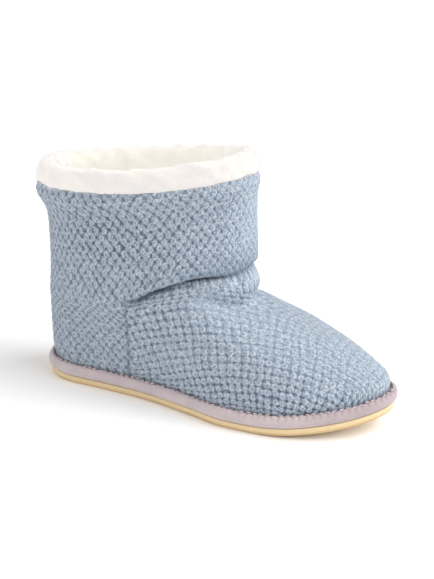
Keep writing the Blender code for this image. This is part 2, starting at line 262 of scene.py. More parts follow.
def interpolate(rows, columns, column, at):
    """Smooth curve through a named column of a table, with no overshoot, read at values of its first one."""
    xs = np.array([row[0] for row in rows], float)
    ys = np.array([row[columns.index(column)] for row in rows], float)
    at = np.asarray(at, float)
    chords = np.diff(ys) / np.diff(xs)
    slopes = np.concatenate([chords[:1], (chords[:-1] + chords[1:]) / 2, chords[-1:]])
    for i in range(1, len(chords)):
        steepest = 3 * min(abs(chords[i - 1]), abs(chords[i]))
        turns = chords[i - 1] * chords[i] <= 0
        slopes[i] = 0.0 if turns else math.copysign(min(abs(slopes[i]), steepest), chords[i])
    cell = np.clip(np.searchsorted(xs, at, side="right") - 1, 0, len(xs) - 2)
    width = xs[cell + 1] - xs[cell]
    t = (at - xs[cell]) / width
    return (
        ys[cell] * (2 * t**3 - 3 * t**2 + 1)
        + slopes[cell] * width * (t**3 - 2 * t**2 + t)
        + ys[cell + 1] * (3 * t**2 - 2 * t**3)
        + slopes[cell + 1] * width * (t**3 - t**2)
    )


def ease(value, start, full):
    """0 up to start, 1 from full on, and smooth between."""
    u = np.clip((value - start) / (full - start), 0, 1)
    return u * u * (3 - 2 * u)


def mound(distance, width):
    """Bell curve, 1 at no distance and nearly 0 at twice the width."""
    return np.exp(-((distance / width) ** 2))


def toe_spring(y):
    """Lift of the sole towards the toe."""
    share = (SOLE_LENGTH / 2 - y) / SOLE_LENGTH
    u = np.clip((share - SPRING_START) / (1 - SPRING_START), 0, None)
    return TOE_SPRING * u**2


def unit(vectors):
    """Vectors at length 1."""
    return vectors / np.maximum(np.linalg.norm(vectors, axis=-1, keepdims=True), 1e-12)


def outward(before, after):
    """Outward normal of a plan curve, from a point before and a point after."""
    tangent = unit(after - before)
    return np.stack([tangent[..., 1], -tangent[..., 0]], axis=-1)


def ring_share(angle):
    """Share of the length from the back to the front at an angle."""
    return (1 - np.cos(angle)) / 2


def mirrored(angle):
    """Angle as it is on the outer side, and that of its mirror image on the inner side."""
    turned = np.mod(angle, TURN)
    return np.minimum(turned, TURN - turned)


def outline_table():
    """The sole's plan and its outward normal at even angles, ready to be read between them."""
    angle = np.arange(1441) * TURN / 1440
    share = ring_share(angle)
    along = share * SOLE_LENGTH
    heel = np.clip((HEEL_ROUND - along) / HEEL_ROUND, 0, 1)
    toe = np.clip((along - (SOLE_LENGTH - TOE_ROUND)) / TOE_ROUND, 0, 1)
    cap = np.sqrt(1 - heel**2) * np.sqrt(np.clip(1 - toe**TOE_POWER, 0, 1))
    outer = interpolate(SOLE_STATIONS, SOLE_COLUMNS, "outer", share)
    inner = interpolate(SOLE_STATIONS, SOLE_COLUMNS, "inner", share)
    plan = np.column_stack([np.where(angle <= math.pi, -outer, inner) * cap, SOLE_LENGTH / 2 - along])
    normal = outward(np.roll(plan[:-1], 20, axis=0), np.roll(plan[:-1], -20, axis=0))
    return angle, plan, np.vstack([normal, normal[:1]])


OUTLINE = outline_table()


def sole_plan(angle, grow):
    """Point of the sole's plan at an angle, grown outwards."""
    grid, plan, normal = OUTLINE
    angle = np.mod(angle, TURN)
    x, y = (np.interp(angle, grid, plan[:, i]) + grow * np.interp(angle, grid, normal[:, i]) for i in (0, 1))
    return np.stack([x, y], axis=-1)


def on_sole(plan, height):
    """Points over a plan, at a height that rises with the toe spring."""
    height = height + toe_spring(plan[..., 1])
    return np.concatenate([plan, height[..., None]], axis=-1)


def sole_point(angle, grow, height):
    """Point on the side of the sole."""
    return on_sole(sole_plan(angle, grow), height)


def path_level(column, share):
    """Level of the crease or of the vamp's top edge at a share of the ring's length."""
    return interpolate(PATHS, PATH_COLUMNS, column, np.clip(share, PATHS[0][0], 1.0))


def upper_plan(row, angle):
    """Plan of the upper's ring, without the slouched ankle."""
    share = ring_share(angle)
    outline = sole_plan(angle, row["grow"] - SEAM_INSET)
    side = np.sin(angle)
    half_width = np.where(side >= 0, row["outer"], row["inner"])
    power = 1 - row["blunt"] * (1 - ease(share, BLUNT_FULL, BLUNT_END))
    ellipse = np.sign(side) * np.abs(side) ** power * half_width
    ellipse = ellipse * (1 + row["egg"] * ease(share, EGG_START, 1.0))
    x = row["foot"] * outline[..., 0] - (1 - row["foot"]) * ellipse
    y = row["back_y"] + (row["front_y"] - row["back_y"]) * share
    return np.stack([x, y], axis=-1)


def upper_point(level, angle, slouch=True):
    """Point on the outside of the knit upper."""
    level, angle = np.broadcast_arrays(np.asarray(level, float), np.asarray(angle, float))
    row = {name: interpolate(RINGS, RING_COLUMNS, name, level) for name in RING_COLUMNS[1:]}
    share = ring_share(angle)
    plan = upper_plan(row, angle)
    if slouch:
        step = math.radians(5)
        crease = ease(share, CREASE_START, CREASE_FULL)
        crease = crease * (1 - (1 - CREASE_FRONT) * ease(share, CREASE_FADE, 1.0))
        shifted = np.clip(level + CREASE_LEVEL - path_level("crease", share), 0, EDGE_LEVEL)
        fold = interpolate(RINGS, RING_COLUMNS, "fold", shifted)
        stand = fold * crease + row["roll"] * ease(share, ROLL_START, ROLL_FULL)
        plan = plan + outward(upper_plan(row, angle - step), upper_plan(row, angle + step)) * stand[..., None]
    climb = (1 - row["rise"]) * share + row["rise"] * np.sin(share * math.pi / 2) ** CLIMB_POWER
    hump = ease(share, HUMP_START, HUMP_PEAK) * (1 - ease(share, HUMP_PEAK, 1.0))
    hump = hump * np.where(np.sin(angle) >= 0, 1.0, HUMP_INSIDE)
    y = row["back_y"] + (row["front_y"] - row["back_y"]) * share
    z = row["back_z"] + (row["front_z"] - row["back_z"]) * climb
    z = z + row["hump"] * hump - row["dip"] * np.sin(angle) ** 2 + row["spring"] * toe_spring(y)
    return np.concatenate([plan, z[..., None]], axis=-1)


def upper_normal(level, angle, slouch=True, reach=0.08, turn=math.radians(1.0)):
    """Outward normal of the upper, over a short reach in level and angle."""
    low = np.clip(level - reach, 0, EDGE_LEVEL)
    high = np.clip(level + reach, 0, EDGE_LEVEL)
    along = upper_point(level, angle + turn, slouch) - upper_point(level, angle - turn, slouch)
    up = upper_point(high, angle, slouch) - upper_point(low, angle, slouch)
    return unit(np.cross(along, up))


def inside_point(level, inset, angle):
    """Point inside the upper, square to its smooth outside, level with it at the collar's edge."""
    level, inset, angle = np.broadcast_arrays(level, inset, angle)
    outside = upper_point(level, angle, slouch=False)
    normal = upper_normal(level, angle, slouch=False, reach=0.5, turn=math.radians(4.0))
    point = outside - normal * inset[..., None]
    keep = ease(level, 13.0, EDGE_LEVEL)
    point[..., 2] += (outside[..., 2] - point[..., 2]) * keep
    return point


def noise(points, size, seed):
    """Smooth random values from -1 to 1 over points in millimetres, with lumps of the given size."""
    lattice = np.random.default_rng(seed).uniform(-1, 1, (32, 32, 32))
    place = points / size
    cell = np.floor(place).astype(int)
    part = place - cell
    part = part * part * (3 - 2 * part)
    total = np.zeros(points.shape[:-1])
    for corner in np.ndindex(2, 2, 2):
        weight = np.prod(np.where(corner, part, 1 - part), axis=-1)
        index = (cell + corner) % 32
        total += weight * lattice[index[..., 0], index[..., 1], index[..., 2]]
    return total


def grid_normals(points):
    """Normals of a grid of points, columns crossed with rows."""
    return unit(np.cross(np.gradient(points, axis=1), np.gradient(points, axis=0)))


def read_table(table, rows, columns, row, column):
    """Value of a table between its even rows and columns."""
    i = np.clip((row - rows[0]) / (rows[1] - rows[0]), 0, len(rows) - 1.001)
    j = np.clip((column - columns[0]) / (columns[1] - columns[0]), 0, len(columns) - 1.001)
    a, b = i.astype(int), j.astype(int)
    s, t = i - a, j - b
    low = table[a, b] * (1 - t) + table[a, b + 1] * t
    high = table[a + 1, b] * (1 - t) + table[a + 1, b + 1] * t
    return low * (1 - s) + high * s


def running_length(points, axis):
    """Length of the way along one axis of a grid of points, from its start."""
    steps = np.linalg.norm(np.diff(points, axis=axis), axis=-1)
    start = np.zeros_like(np.take(steps, [0], axis=axis))
    return np.concatenate([start, np.cumsum(steps, axis=axis)], axis=axis)


def length_map(points):
    """Place of each point of a grid, as its way along the row and up the column."""
    return np.stack([running_length(points, axis=1), running_length(points, axis=0)], axis=-1)


# Ways round and up the upper without its slouched ankle, on a fine grid of levels and angles
TABLE_LEVELS = np.linspace(0, EDGE_LEVEL, 109)
TABLE_ANGLES = np.linspace(0, TURN, 361)
TABLE_POINTS = upper_point(TABLE_LEVELS[:, None], TABLE_ANGLES[None, :], slouch=False)
RING_LENGTH = running_length(TABLE_POINTS, axis=1)
COLUMN_LENGTH = running_length(TABLE_POINTS, axis=0)


def round_length(level, angle):
    """Way round the ring from the back to an angle between 0 and a full turn."""
    return read_table(RING_LENGTH, TABLE_LEVELS, TABLE_ANGLES, level, angle)


def up_length(level, angle):
    """Way up the upper from the rand at one angle."""
    return read_table(COLUMN_LENGTH, TABLE_LEVELS, TABLE_ANGLES, level, np.mod(angle, TURN))


def seam_angle(level):
    """Angle of the side seam at a level up to the crease."""
    row = {name: interpolate(RINGS, RING_COLUMNS, name, level) for name in ("back_y", "front_y")}
    y = SIDE_SEAM_LOW + (SIDE_SEAM_HIGH - SIDE_SEAM_LOW) * np.clip(level / SEAM_TOP_LEVEL, 0, 1)
    return np.arccos(1 - 2 * (row["back_y"] - y) / (row["back_y"] - row["front_y"]))


SEAM_TOP = float(seam_angle(SEAM_TOP_LEVEL))


def cut_level(angle):
    """Level of the seam between vamp and leg piece in front of the side seams."""
    return path_level("cut", ring_share(angle))


def overhang(angle):
    """How far the leg piece slouches over the vamp's top edge, 0 to 1."""
    share = ring_share(angle)
    return ease(share, *OVERHANG_IN) * (1 - ease(share, *OVERHANG_OUT))


# Stitches


# Patches of painted shade on the knit, where its gaps are painted darker, and one of painted light with a
# negative amount: middle (y, z), half length and half height, and amount
PAINTED_SHADING_PATCHES = (
    ((66, 118), (52, 24), 0.95),
    ((38, 58), (24, 16), 0.60),
    ((-45, 24), (60, 10), 0.80),
    ((-8, 84), (13, 8), -0.50),
    ((-25, 89), (5, 4), 1.00),
)
# Painted light: where the cloth faces up towards the key light it is painted lighter, its gaps hidden and its
# stitches flatter, by this much at most
PAINTED_LIGHT_SIDE = (0.0, -0.75, 0.66)
PAINTED_LIGHT_AMOUNT = 0.6
LEAST_TONE = -0.85


def painted_cloth_shading(point, normal):
    """Painted shading of the knit: how much darker its gaps are painted in the patches, and less than 0,
    painted light, where the cloth faces up towards the key light.
    """
    tone = -PAINTED_LIGHT_AMOUNT * ease(normal @ np.array(PAINTED_LIGHT_SIDE), 0.25, 0.9)
    for middle, size, amount in PAINTED_SHADING_PATCHES:
        tone += amount * np.exp(-((((point[..., 1:] - middle) / size) ** 2).sum(axis=-1)))
    return np.maximum(tone, LEAST_TONE)


def stitch_relief(u, v, tone):
    """Height of the knit over a stitch: 0.5 on a loop, at whole coordinates, -0.5 in the gap between four."""
    # The stitches flatten where the painted shading is below 0
    return (np.cos(TURN * u) + np.cos(TURN * v)) / 4 * (1 + np.minimum(tone, 0))


def unsettle(point, stitch, amount, seed):
    """Stitch coordinates shifted at random, in lumps of about 16 mm and of 6 mm."""
    return [
        value + amount * noise(point, size, seed + i) + 0.05 * noise(point, 6.0, seed + 10 + i)
        for i, (value, size) in enumerate(zip(stitch, (17.0, 15.0)))
    ]


# Mesh helpers


def deselect():
    """Leave nothing selected."""
    bpy.ops.object.select_all(action="DESELECT")


def lay_grid(name, points, uv, values=None, closed=False):
    """Grid primitive laid on rows of points in millimetres, with a UV map and point values."""
    rows, columns = points.shape[:2]
    deselect()
    bpy.ops.mesh.primitive_grid_add(
        x_subdivisions=columns - 1, y_subdivisions=rows - 1, size=2, calc_uvs=True
    )
    piece = bpy.context.object
    piece.name = name
    mesh = piece.data
    mesh.name = name
    flat = np.empty(len(mesh.vertices) * 3)
    mesh.vertices.foreach_get("co", flat)
    place = flat.reshape(-1, 3)
    column = np.rint((place[:, 0] + 1) / 2 * (columns - 1)).astype(int)
    row = np.rint((place[:, 1] + 1) / 2 * (rows - 1)).astype(int)
    mesh.vertices.foreach_set("co", (points[row, column] * MM).ravel())
    corner = np.empty(len(mesh.loops), dtype=np.int32)
    mesh.loops.foreach_get("vertex_index", corner)
    mesh.uv_layers[0].data.foreach_set("uv", uv[row, column][corner].astype(np.float32).ravel())
    for key, value in (values or {}).items():
        layer = mesh.attributes.new(key, "FLOAT", "POINT")
        layer.data.foreach_set("value", value[row, column].astype(np.float32).ravel())
    mesh.update()
    if closed:
        merge_seams(piece)
    bpy.ops.object.shade_smooth()
    return piece


def merge_seams(piece):
    """Merge the vertices that lie on each other."""
    deselect()
    piece.select_set(True)
    bpy.context.view_layer.objects.active = piece
    bpy.ops.object.mode_set(mode="EDIT")
    bpy.ops.mesh.select_all(action="SELECT")
    bpy.ops.mesh.remove_doubles(threshold=2e-6)
    bpy.ops.object.mode_set(mode="OBJECT")


def join(name, pieces):
    """Join pieces into the first."""
    deselect()
    for piece in pieces:
        piece.select_set(True)
    bpy.context.view_layer.objects.active = pieces[0]
    bpy.ops.object.join()
    pieces[0].name = name
    pieces[0].data.name = name
    return pieces[0]


def mesh_from(name, vertices, faces):
    """Mesh object from arrays of points in millimetres and faces of one size."""
    mesh = bpy.data.meshes.new(name)
    mesh.from_pydata((vertices * MM).tolist(), [], faces.tolist())
    mesh.shade_smooth()
    piece = bpy.data.objects.new(name, mesh)
    bpy.context.scene.collection.objects.link(piece)
    return piece


def dress(piece, material, node):
    """Give a piece its material and its place in the frame."""
    piece.data.materials.clear()
    piece.data.materials.append(material)
    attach(piece, "root")
    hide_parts(node)
    return piece


# Materials


def linear(colour):
    """Linear RGB of an sRGB hex colour."""
    channels = [int(colour[i:i + 2], 16) / 255 for i in (1, 3, 5)]
    return tuple(c / 12.92 if c <= 0.04045 else ((c + 0.055) / 1.055) ** 2.4 for c in channels)


def feed(tree, node, inputs):
    """Link or set a node's inputs."""
    for name, value in inputs.items():
        if isinstance(value, bpy.types.NodeSocket):
            tree.links.new(value, node.inputs[name])
        else:
            node.inputs[name].default_value = value


def add(tree, kind, inputs=None, **settings):
    """Add a node with its settings and inputs."""
    node = tree.nodes.new("ShaderNode" + kind)
    for name, value in settings.items():
        setattr(node, name, value)
    feed(tree, node, inputs or {})
    return node


def new_material(name):
    """Empty node material, with its tree."""
    material = bpy.data.materials.new(name)
    material.use_nodes = True
    return material, material.node_tree


def finish(material, sockets):
    """Link or set the sockets of the principled shader."""
    tree = material.node_tree
    feed(tree, tree.nodes["Principled BSDF"], sockets)
    return material


def combine(tree, operation, first, second=0.0, third=0.0, **settings):
    """Result of one arithmetic node."""
    return add(tree, "Math", {0: first, 1: second, 2: third}, operation=operation, **settings).outputs[0]


def weigh(tree, *parts, start=0.0):
    """Sum of values, each times its weight."""
    for value, weight in parts:
        start = combine(tree, "MULTIPLY_ADD", value, weight, start)
    return start


def vector(tree, operation, *operands):
    """Result of one vector node."""
    return add(tree, "VectorMath", dict(enumerate(operands)), operation=operation).outputs[0]


def bell(tree, value, middle, width):
    """Bell curve, 1 where a value is at its middle."""
    offset = combine(tree, "MULTIPLY_ADD", value, 1 / width, -middle / width)
    square = combine(tree, "MULTIPLY", offset, offset)
    return combine(tree, "EXPONENT", combine(tree, "MULTIPLY", square, -1.0))


def stretch(tree, value, low, high, bottom=0.0, top=1.0, **settings):
    """Value spread so that low becomes bottom and high becomes top, and held there."""
    ends = {"From Min": low, "From Max": high, "To Min": bottom, "To Max": top}
    return add(tree, "MapRange", {"Value": value, **ends}, **settings).outputs[0]


def grain(tree, place, scale, detail, **inputs):
    """Noise over a place, with lumps of 1 over the scale in metres."""
    inputs = {"Vector": place, "Scale": scale, "Detail": detail, **inputs}
    return add(tree, "TexNoise", inputs).outputs[0]


def attribute(tree, name, output="Fac"):
    """Value that the mesh carries."""
    return add(tree, "Attribute", attribute_name=name).outputs[output]


def object_place(tree):
    """Place on the piece, in metres."""
    return add(tree, "TexCoord").outputs["Object"]


def map_place(tree):
    """Place on the piece's own UV map."""
    return add(tree, "UVMap", uv_map="UVMap").outputs["UV"]


def parts(tree, value):
    """Parts of a vector."""
    return add(tree, "SeparateXYZ", {0: value}).outputs


def dim(tree, colour, share):
    """Colour times a share."""
    return add(tree, "VectorMath", {0: colour, "Scale": share}, operation="SCALE").outputs[0]


def bump(tree, relief, strength, depth):
    """Normal of a relief with its depth in millimetres."""
    return add(tree, "Bump", {"Strength": strength, "Distance": depth * MM, "Height": relief}).outputs[0]


def blend(tree, share, first, second):
    """Colour between two colours."""
    first, second = (
        colour if isinstance(colour, bpy.types.NodeSocket) else (*colour, 1) for colour in (first, second)
    )
    return add(tree, "Mix", {0: share, 6: first, 7: second}, data_type="RGBA").outputs[2]


def knit_material(name, settings, hole, speckle):
    """Wool blend knit of plied heather yarn: matt and fuzzy, rings of light yarn and slate blue gaps darkened
    with painted shade.

    The UV map counts stitches, with a loop at each pair of whole numbers; hole gives the half widths of the
    dark spot of painted shade between four loops, in stitches, and speckle how sharply light and dark fibres
    part.
    """
    material, tree = new_material(name)
    place = object_place(tree)
    # Unevenness of the loops, at 2.2 mm, up to a tenth of a stitch
    uneven = add(tree, "TexNoise", {"Vector": place, "Scale": 450.0, "Detail": 1.0}).outputs["Color"]
    uneven = vector(tree, "SUBTRACT", uneven, (0.5, 0.5, 0.5))
    shift = vector(tree, "MULTIPLY_ADD", uneven, (0.34,) * 3, map_place(tree))
    loose = 0.26
    middle = vector(tree, "ADD", shift, (loose / 2, loose / 2, 0))
    cell = add(
        tree, "TexVoronoi", {"Vector": middle, "Scale": 1.0, "Randomness": loose}, voronoi_dimensions="2D"
    ).outputs
    reach = cell["Distance"]
    chance = add(tree, "SeparateColor", {0: cell["Color"]}).outputs
    # Each loop: an open ring of yarn 2.7 mm across round a darker eye
    local = parts(tree, vector(tree, "SUBTRACT", middle, cell["Position"]))
    bearing = weigh(tree, (chance[0], TURN), start=combine(tree, "ARCTAN2", local[1], local[0]))
    opening = combine(tree, "MULTIPLY_ADD", combine(tree, "COSINE", bearing), 0.62, 0.55, use_clamp=True)
    inner = weigh(tree, (chance[2], -0.10), start=combine(tree, "ADD", reach, 0.05))
    ring = combine(tree, "MULTIPLY", bell(tree, inner, 0.27, 0.10), opening)
    eye = bell(tree, reach, 0.0, 0.13)
    field = stretch(tree, reach, 0.30, 0.66, interpolation_type="SMOOTHSTEP")
    corner = parts(tree, vector(tree, "FRACTION", shift))
    spot = combine(tree, "MULTIPLY", *(bell(tree, corner[i], 0.5, hole[i]) for i in (0, 1)))
    # Heather: flecks of lighter and darker fibre at 0.9 mm, over patches of some 60 mm
    fleck = grain(tree, place, 1100.0, 2.0, Roughness=0.7)
    fleck = combine(tree, "MULTIPLY_ADD", fleck, speckle, 0.5 - speckle / 2, use_clamp=True)
    patch = stretch(tree, grain(tree, place, 16.0, 2.0), 0.3, 0.7, top=0.22)
    lit = weigh(tree, (fleck, 0.76), (ring, 0.85), (eye, -0.30))
    yarn = blend(tree, patch, blend(tree, lit, settings.mid, settings.light), settings.cool)
    # Darkness of the gaps, which is painted shade, with the painted shading and the painted shade of seams
    # and tucks that the mesh carries
    dark = weigh(tree, (field, 0.48), (spot, 0.42))
    dark = combine(tree, "MULTIPLY", dark, combine(tree, "MULTIPLY_ADD", chance[1], 0.5, 0.75))
    dark = weigh(tree, (fleck, -0.45), start=combine(tree, "ADD", dark, 0.22))
    dark = combine(tree, "MULTIPLY_ADD", dark, attribute(tree, "tone"), dark, use_clamp=True)
    rest = combine(tree, "SUBTRACT", 1.0, dark)
    dark = combine(tree, "MULTIPLY_ADD", attribute(tree, "shade"), rest, dark)
    # Relief of the loops, with loose fibre at 0.5 mm, drawn coarser than real to show
    fibre = grain(tree, place, 1900.0, 2.0, Roughness=0.7)
    relief = weigh(tree, (fibre, 0.55), (ring, 0.7), (fleck, 0.45), (field, -0.35), (spot, -0.5))
    return finish(material, {
        "Base Color": blend(tree, dark, yarn, settings.gap),
        "Normal": bump(tree, relief, 0.7, 0.8),
        "Roughness": 0.95,
        "Specular IOR Level": 0.2,
        "Sheen Weight": 0.45,
        "Sheen Roughness": 0.5,
        "Sheen Tint": (*linear("#E6EDF5"), 1),
    })


def pile_material(name, settings, length):
    """Polyester sherpa pile: nearly white fibre in soft tufts, matt, that passes light through its depth,
    with a painted glow.
    """
    material, tree = new_material(name)
    place = object_place(tree)
    depth = attribute(tree, "depth")
    # Tufts about 4 mm across, yellower where they part
    tuft = stretch(tree, grain(tree, place, 260.0, 3.0, Distortion=0.8), 0.35, 0.7)
    colour = blend(tree, weigh(tree, (tuft, 0.25), start=depth), settings.tip, settings.root)
    # Fibres under 1 mm wide: noise drawn out along the pile's length
    lie = add(tree, "Mapping", {"Vector": place, "Scale": (1.0, 1.0, 0.35)}).outputs[0]
    fibre = grain(tree, lie, 1500.0 / length, 3.0, Distortion=1.5)
    # Painted glow: emission that stands in for light the real pile scatters between its fibres, more of it
    # deep inside
    painted_glow = dim(tree, colour, combine(tree, "MULTIPLY_ADD", depth, 0.3, 0.9))
    return finish(material, {
        "Base Color": colour,
        "Normal": bump(tree, weigh(tree, (tuft, 0.4), start=fibre), 0.12, 0.7),
        "Roughness": 1.0,
        "Specular IOR Level": 0.1,
        "Subsurface Weight": 0.8,
        "Subsurface Radius": (1.0, 0.95, 0.88),
        "Subsurface Scale": 0.008,
        "Emission Color": painted_glow,
        "Emission Strength": settings.glow,
        "Sheen Weight": 0.2,
        "Sheen Roughness": 0.6,
        "Sheen Tint": (*linear("#FFFBF7"), 1),
    })


def fibre_material(name, tip, root, body, glow):
    """Loose fibre, matt: body is its share of the light on the cloth it stands on, and glow the painted glow,
    emission that it adds.
    """
    material, tree = new_material(name)
    colour = blend(tree, attribute(tree, "depth"), tip, root)
    return finish(material, {
        "Base Color": dim(tree, colour, body),
        "Normal": attribute(tree, "out", "Vector"),
        "Roughness": 1.0,
        "Specular IOR Level": 0.1,
        "Emission Color": colour,
        "Emission Strength": glow,
    })


def rand_material(settings):
    """Brushed cotton wrapped over the rand board: fine plain weave, matt, with painted shade in its pleats,
    in the seam groove along its top and over the toe.
    """
    material, tree = new_material("brushed_cotton_rand")
    place = object_place(tree)
    # Unevenness of the dye, at 11 mm
    blotch = stretch(tree, grain(tree, place, 90.0, 4.0, Roughness=0.6), 0.3, 0.7)
    cloth = blend(tree, blotch, settings.rand_shade, settings.rand_light)
    # Plain weave with a thread every 0.6 mm, under a nap at 0.7 mm; the UV map is in millimetres
    thread = parts(tree, map_place(tree))
    weave = combine(
        tree,
        "MULTIPLY",
        *(combine(tree, "SINE", combine(tree, "MULTIPLY", thread[i], TURN / 1.2)) for i in (0, 1)),
    )
    relief = weigh(tree, (weave, 0.3), start=grain(tree, place, 1400.0, 2.0))
    return finish(material, {
        "Base Color": blend(tree, attribute(tree, "depth"), cloth, settings.rand_painted_shade),
        "Normal": bump(tree, relief, 0.4, 0.3),
        "Roughness": 0.85,
        "Specular IOR Level": 0.3,
        "Sheen Weight": 0.25,
        "Sheen Roughness": 0.4,
    })


def sole_material(settings):
    """Foamed rubber sheet: satin, a pale upper layer over a tan wear layer, with fine pores in its edge."""
    material, tree = new_material("foamed_rubber_sole")
    place = object_place(tree)
    # Pores at 1.4 mm, and unevenness of the wear layer at 25 mm
    speck = stretch(tree, grain(tree, place, 700.0, 3.0, Roughness=0.6), 0.3, 0.7)
    upper = blend(tree, speck, settings.sole_light, settings.sole_pale)
    lower = blend(tree, grain(tree, place, 40.0, 3.0), settings.sole_tan, settings.sole_light)
    return finish(material, {
        "Base Color": blend(tree, attribute(tree, "depth"), upper, lower),
        "Normal": bump(tree, speck, 0.25, 0.3),
        "Roughness": stretch(tree, speck, 0.0, 1.0, 0.5, 0.68),
        "Specular IOR Level": 0.4,
        "IOR": 1.52,
    })


def thread_material(settings):
    """Spun polyester sewing thread, two plies twisted at 1.1 mm, with a slight lustre."""
    material, tree = new_material("spun_sewing_thread")
    place = object_place(tree)
    ply = grain(tree, place, 900.0, 2.0)
    return finish(material, {
        "Base Color": blend(tree, ply, settings.thread, settings.thread_light),
        "Normal": bump(tree, ply, 0.4, 0.2),
        "Roughness": 0.6,
        "Sheen Weight": 0.2,
    })


def floor_material(settings):
    """Matt white studio paper, with a grain of 3 mm."""
    material, tree = new_material("white_studio_paper")
    place = object_place(tree)
    return finish(material, {
        "Base Color": blend(tree, grain(tree, place, 300.0, 2.0), settings.floor, linear("#FFFFFF")),
        "Roughness": 0.9,
        "Specular IOR Level": 0.1,
    })


# Settings


def number_setting(name, description, default, least=0.0):
    """Number that a user may change."""
    return FloatProperty(name=name, description=description, default=default, min=least)


def count_setting(name, description, default, least=0):
    """Count that a user may change."""
    return IntProperty(name=name, description=description, default=default, min=least)


def length_setting(name, description, millimetres):
    """Length that a user may change."""
    return FloatProperty(name=name, description=description, default=millimetres * MM, min=0.0, unit="LENGTH")


def colour_setting(name, description, colour):
    """Colour that a user may change."""
    return FloatVectorProperty(
        name=name, description=description, default=linear(colour), size=3, min=0.0, max=1.0, subtype="COLOR"
    )


class BootKnit(bpy.types.PropertyGroup):
    """Sizes and colours of the knit."""

    leg_height: length_setting("Leg row height", "Height of one row of stitches in the leg piece", 4.45)
    leg_count: count_setting("Leg stitches", "Stitches round the leg piece", 62, 20)
    vamp_size: number_setting("Vamp stitch size", "Size of the vamp's stitches", 1.0, 0.2)
    relief: length_setting("Stitch relief", "Depth of the gaps between stitches", 0.75)
    nap: length_setting("Nap length", "Length of the short hairs on the knit", 1.5)
    hairs: count_setting("Hairs", "Number of short hairs on the knit", 9000)
    light: colour_setting("Light fibre", "Lightest fibre of the heather yarn", "#C9D4E0")
    mid: colour_setting("Mid fibre", "Main fibre of the heather yarn", "#8799AB")
    cool: colour_setting("Cool patches", "Slightly greyer patches in the yarn", "#A7AEBD")
    # Painted shade: the colour that the gaps between stitches, the seams and the tucks are darkened towards
    gap: colour_setting("Gaps", "Colour deep between the stitches", "#4F6177")


class BootPlush(bpy.types.PropertyGroup):
    """Sizes and colours of the plush."""

    tuft: length_setting("Tuft relief", "How far tufts stand out of the rim", 0.9)
    fibre: length_setting("Fibre length", "Length of the loose fibres on the rim", 2.6)
    # Strength of the painted glow, emission that stands in for light scattered within the pile
    glow: number_setting("Scatter", "Light scattered within the pile", 0.73)
    fibres: count_setting("Fibres", "Number of loose fibres on the rim", 8000)
    tip: colour_setting("Pile tips", "Colour at the tips of the pile", "#BBB8B8")
    root: colour_setting("Pile roots", "Colour deep in the pile", "#BFBCB4")


class BootSole(bpy.types.PropertyGroup):
    """Sizes and colours of the rand, its stitches and the sole."""

    pleat_width: length_setting("Pleat width", "Way from one pleat of the rand cloth to the next", 4.6)
    stitch_step: length_setting("Stitch step", "Way from one stitch of the rand seam to the next", 4.4)
    rand_light: colour_setting("Rand cloth", "Mauve-grey cloth of the rand", "#CBBFC1")
    rand_shade: colour_setting("Rand cloth shade", "Darker thread of the rand cloth", "#BFB2B6")
    # Painted shade in the pleats, in the seam groove along the top and over the toe of the rand
    rand_painted_shade: colour_setting("Rand pleats", "Colour down in the pleats and seam of the rand", "#88767D")
    sole_pale: colour_setting("Sole upper layer", "Palest tone of the sole's upper layer", "#E8D4AC")
    sole_light: colour_setting("Sole cut edge", "Main tone of the sole's side", "#E0C79A")
    sole_tan: colour_setting("Sole wear layer", "Tan of the sole's lower layer", "#CCA876")
    thread: colour_setting("Thread", "Pinkish thread of the rand seam", "#BAA7AA")
    thread_light: colour_setting("Thread light", "Lighter ply of the thread", "#D2C5C5")


class BootStage(bpy.types.PropertyGroup):
    """Floor, lights and camera."""

    floor: colour_setting("Floor", "Colour of the studio paper", "#FFFFFF")
    lens: number_setting("Lens", "Focal length of the camera, in millimetres", 74.0, 20.0)
    world: number_setting("Surround", "Strength of the white surround", 0.64)
    key: number_setting("Key light", "Strength of the broad light in front", 2.85)
    fill: number_setting("Fill light", "Strength of the light from behind", 0.55)


# Pieces


def rand_tuck(distance):
    """Move of the knit's bottom edge down into the groove behind the rand."""
    tuck = mound(distance, 0.9)
    return np.stack([0 * tuck, 0 * tuck, -0.9 * tuck], axis=-1), 0.25 * tuck


def swell(distance, bells):
    """Lift at a distance from a tuck, by its ridges and troughs."""
    return sum(lift * mound(distance - middle, width) for lift, middle, width in bells)


def leg_lattice(level, angle, settings):
    """Stitch coordinates on the leg piece, in brick order, angle running on past a full turn or below 0."""
    behind = np.mod(angle, TURN) > math.pi
    near = mirrored(angle)
    half = round_length(np.maximum(level, THROAT_LEVEL), np.full_like(near, math.pi))
    share = round_length(level, near) / half
    pull = share + LEG_CROWD * np.maximum(share - LEG_CROWD_START, 0) ** 2
    full = 1 + LEG_CROWD * (1 - LEG_CROWD_START) ** 2
    column = pull / full * settings.leg_count / 2
    column = np.where(behind, -column, column) + np.where(behind & (angle > math.pi), settings.leg_count, 0)
    side = np.full_like(angle, LEG_SIDE)
    climb = up_length(level, side) - up_length(np.full_like(angle, CREASE_LEVEL), side)
    y = upper_point(level, near, slouch=False)[..., 1]
    row = (climb + LEG_TILT * (y - 50)) / (settings.leg_height / MM)
    return column + row / 2, row / 2 - column


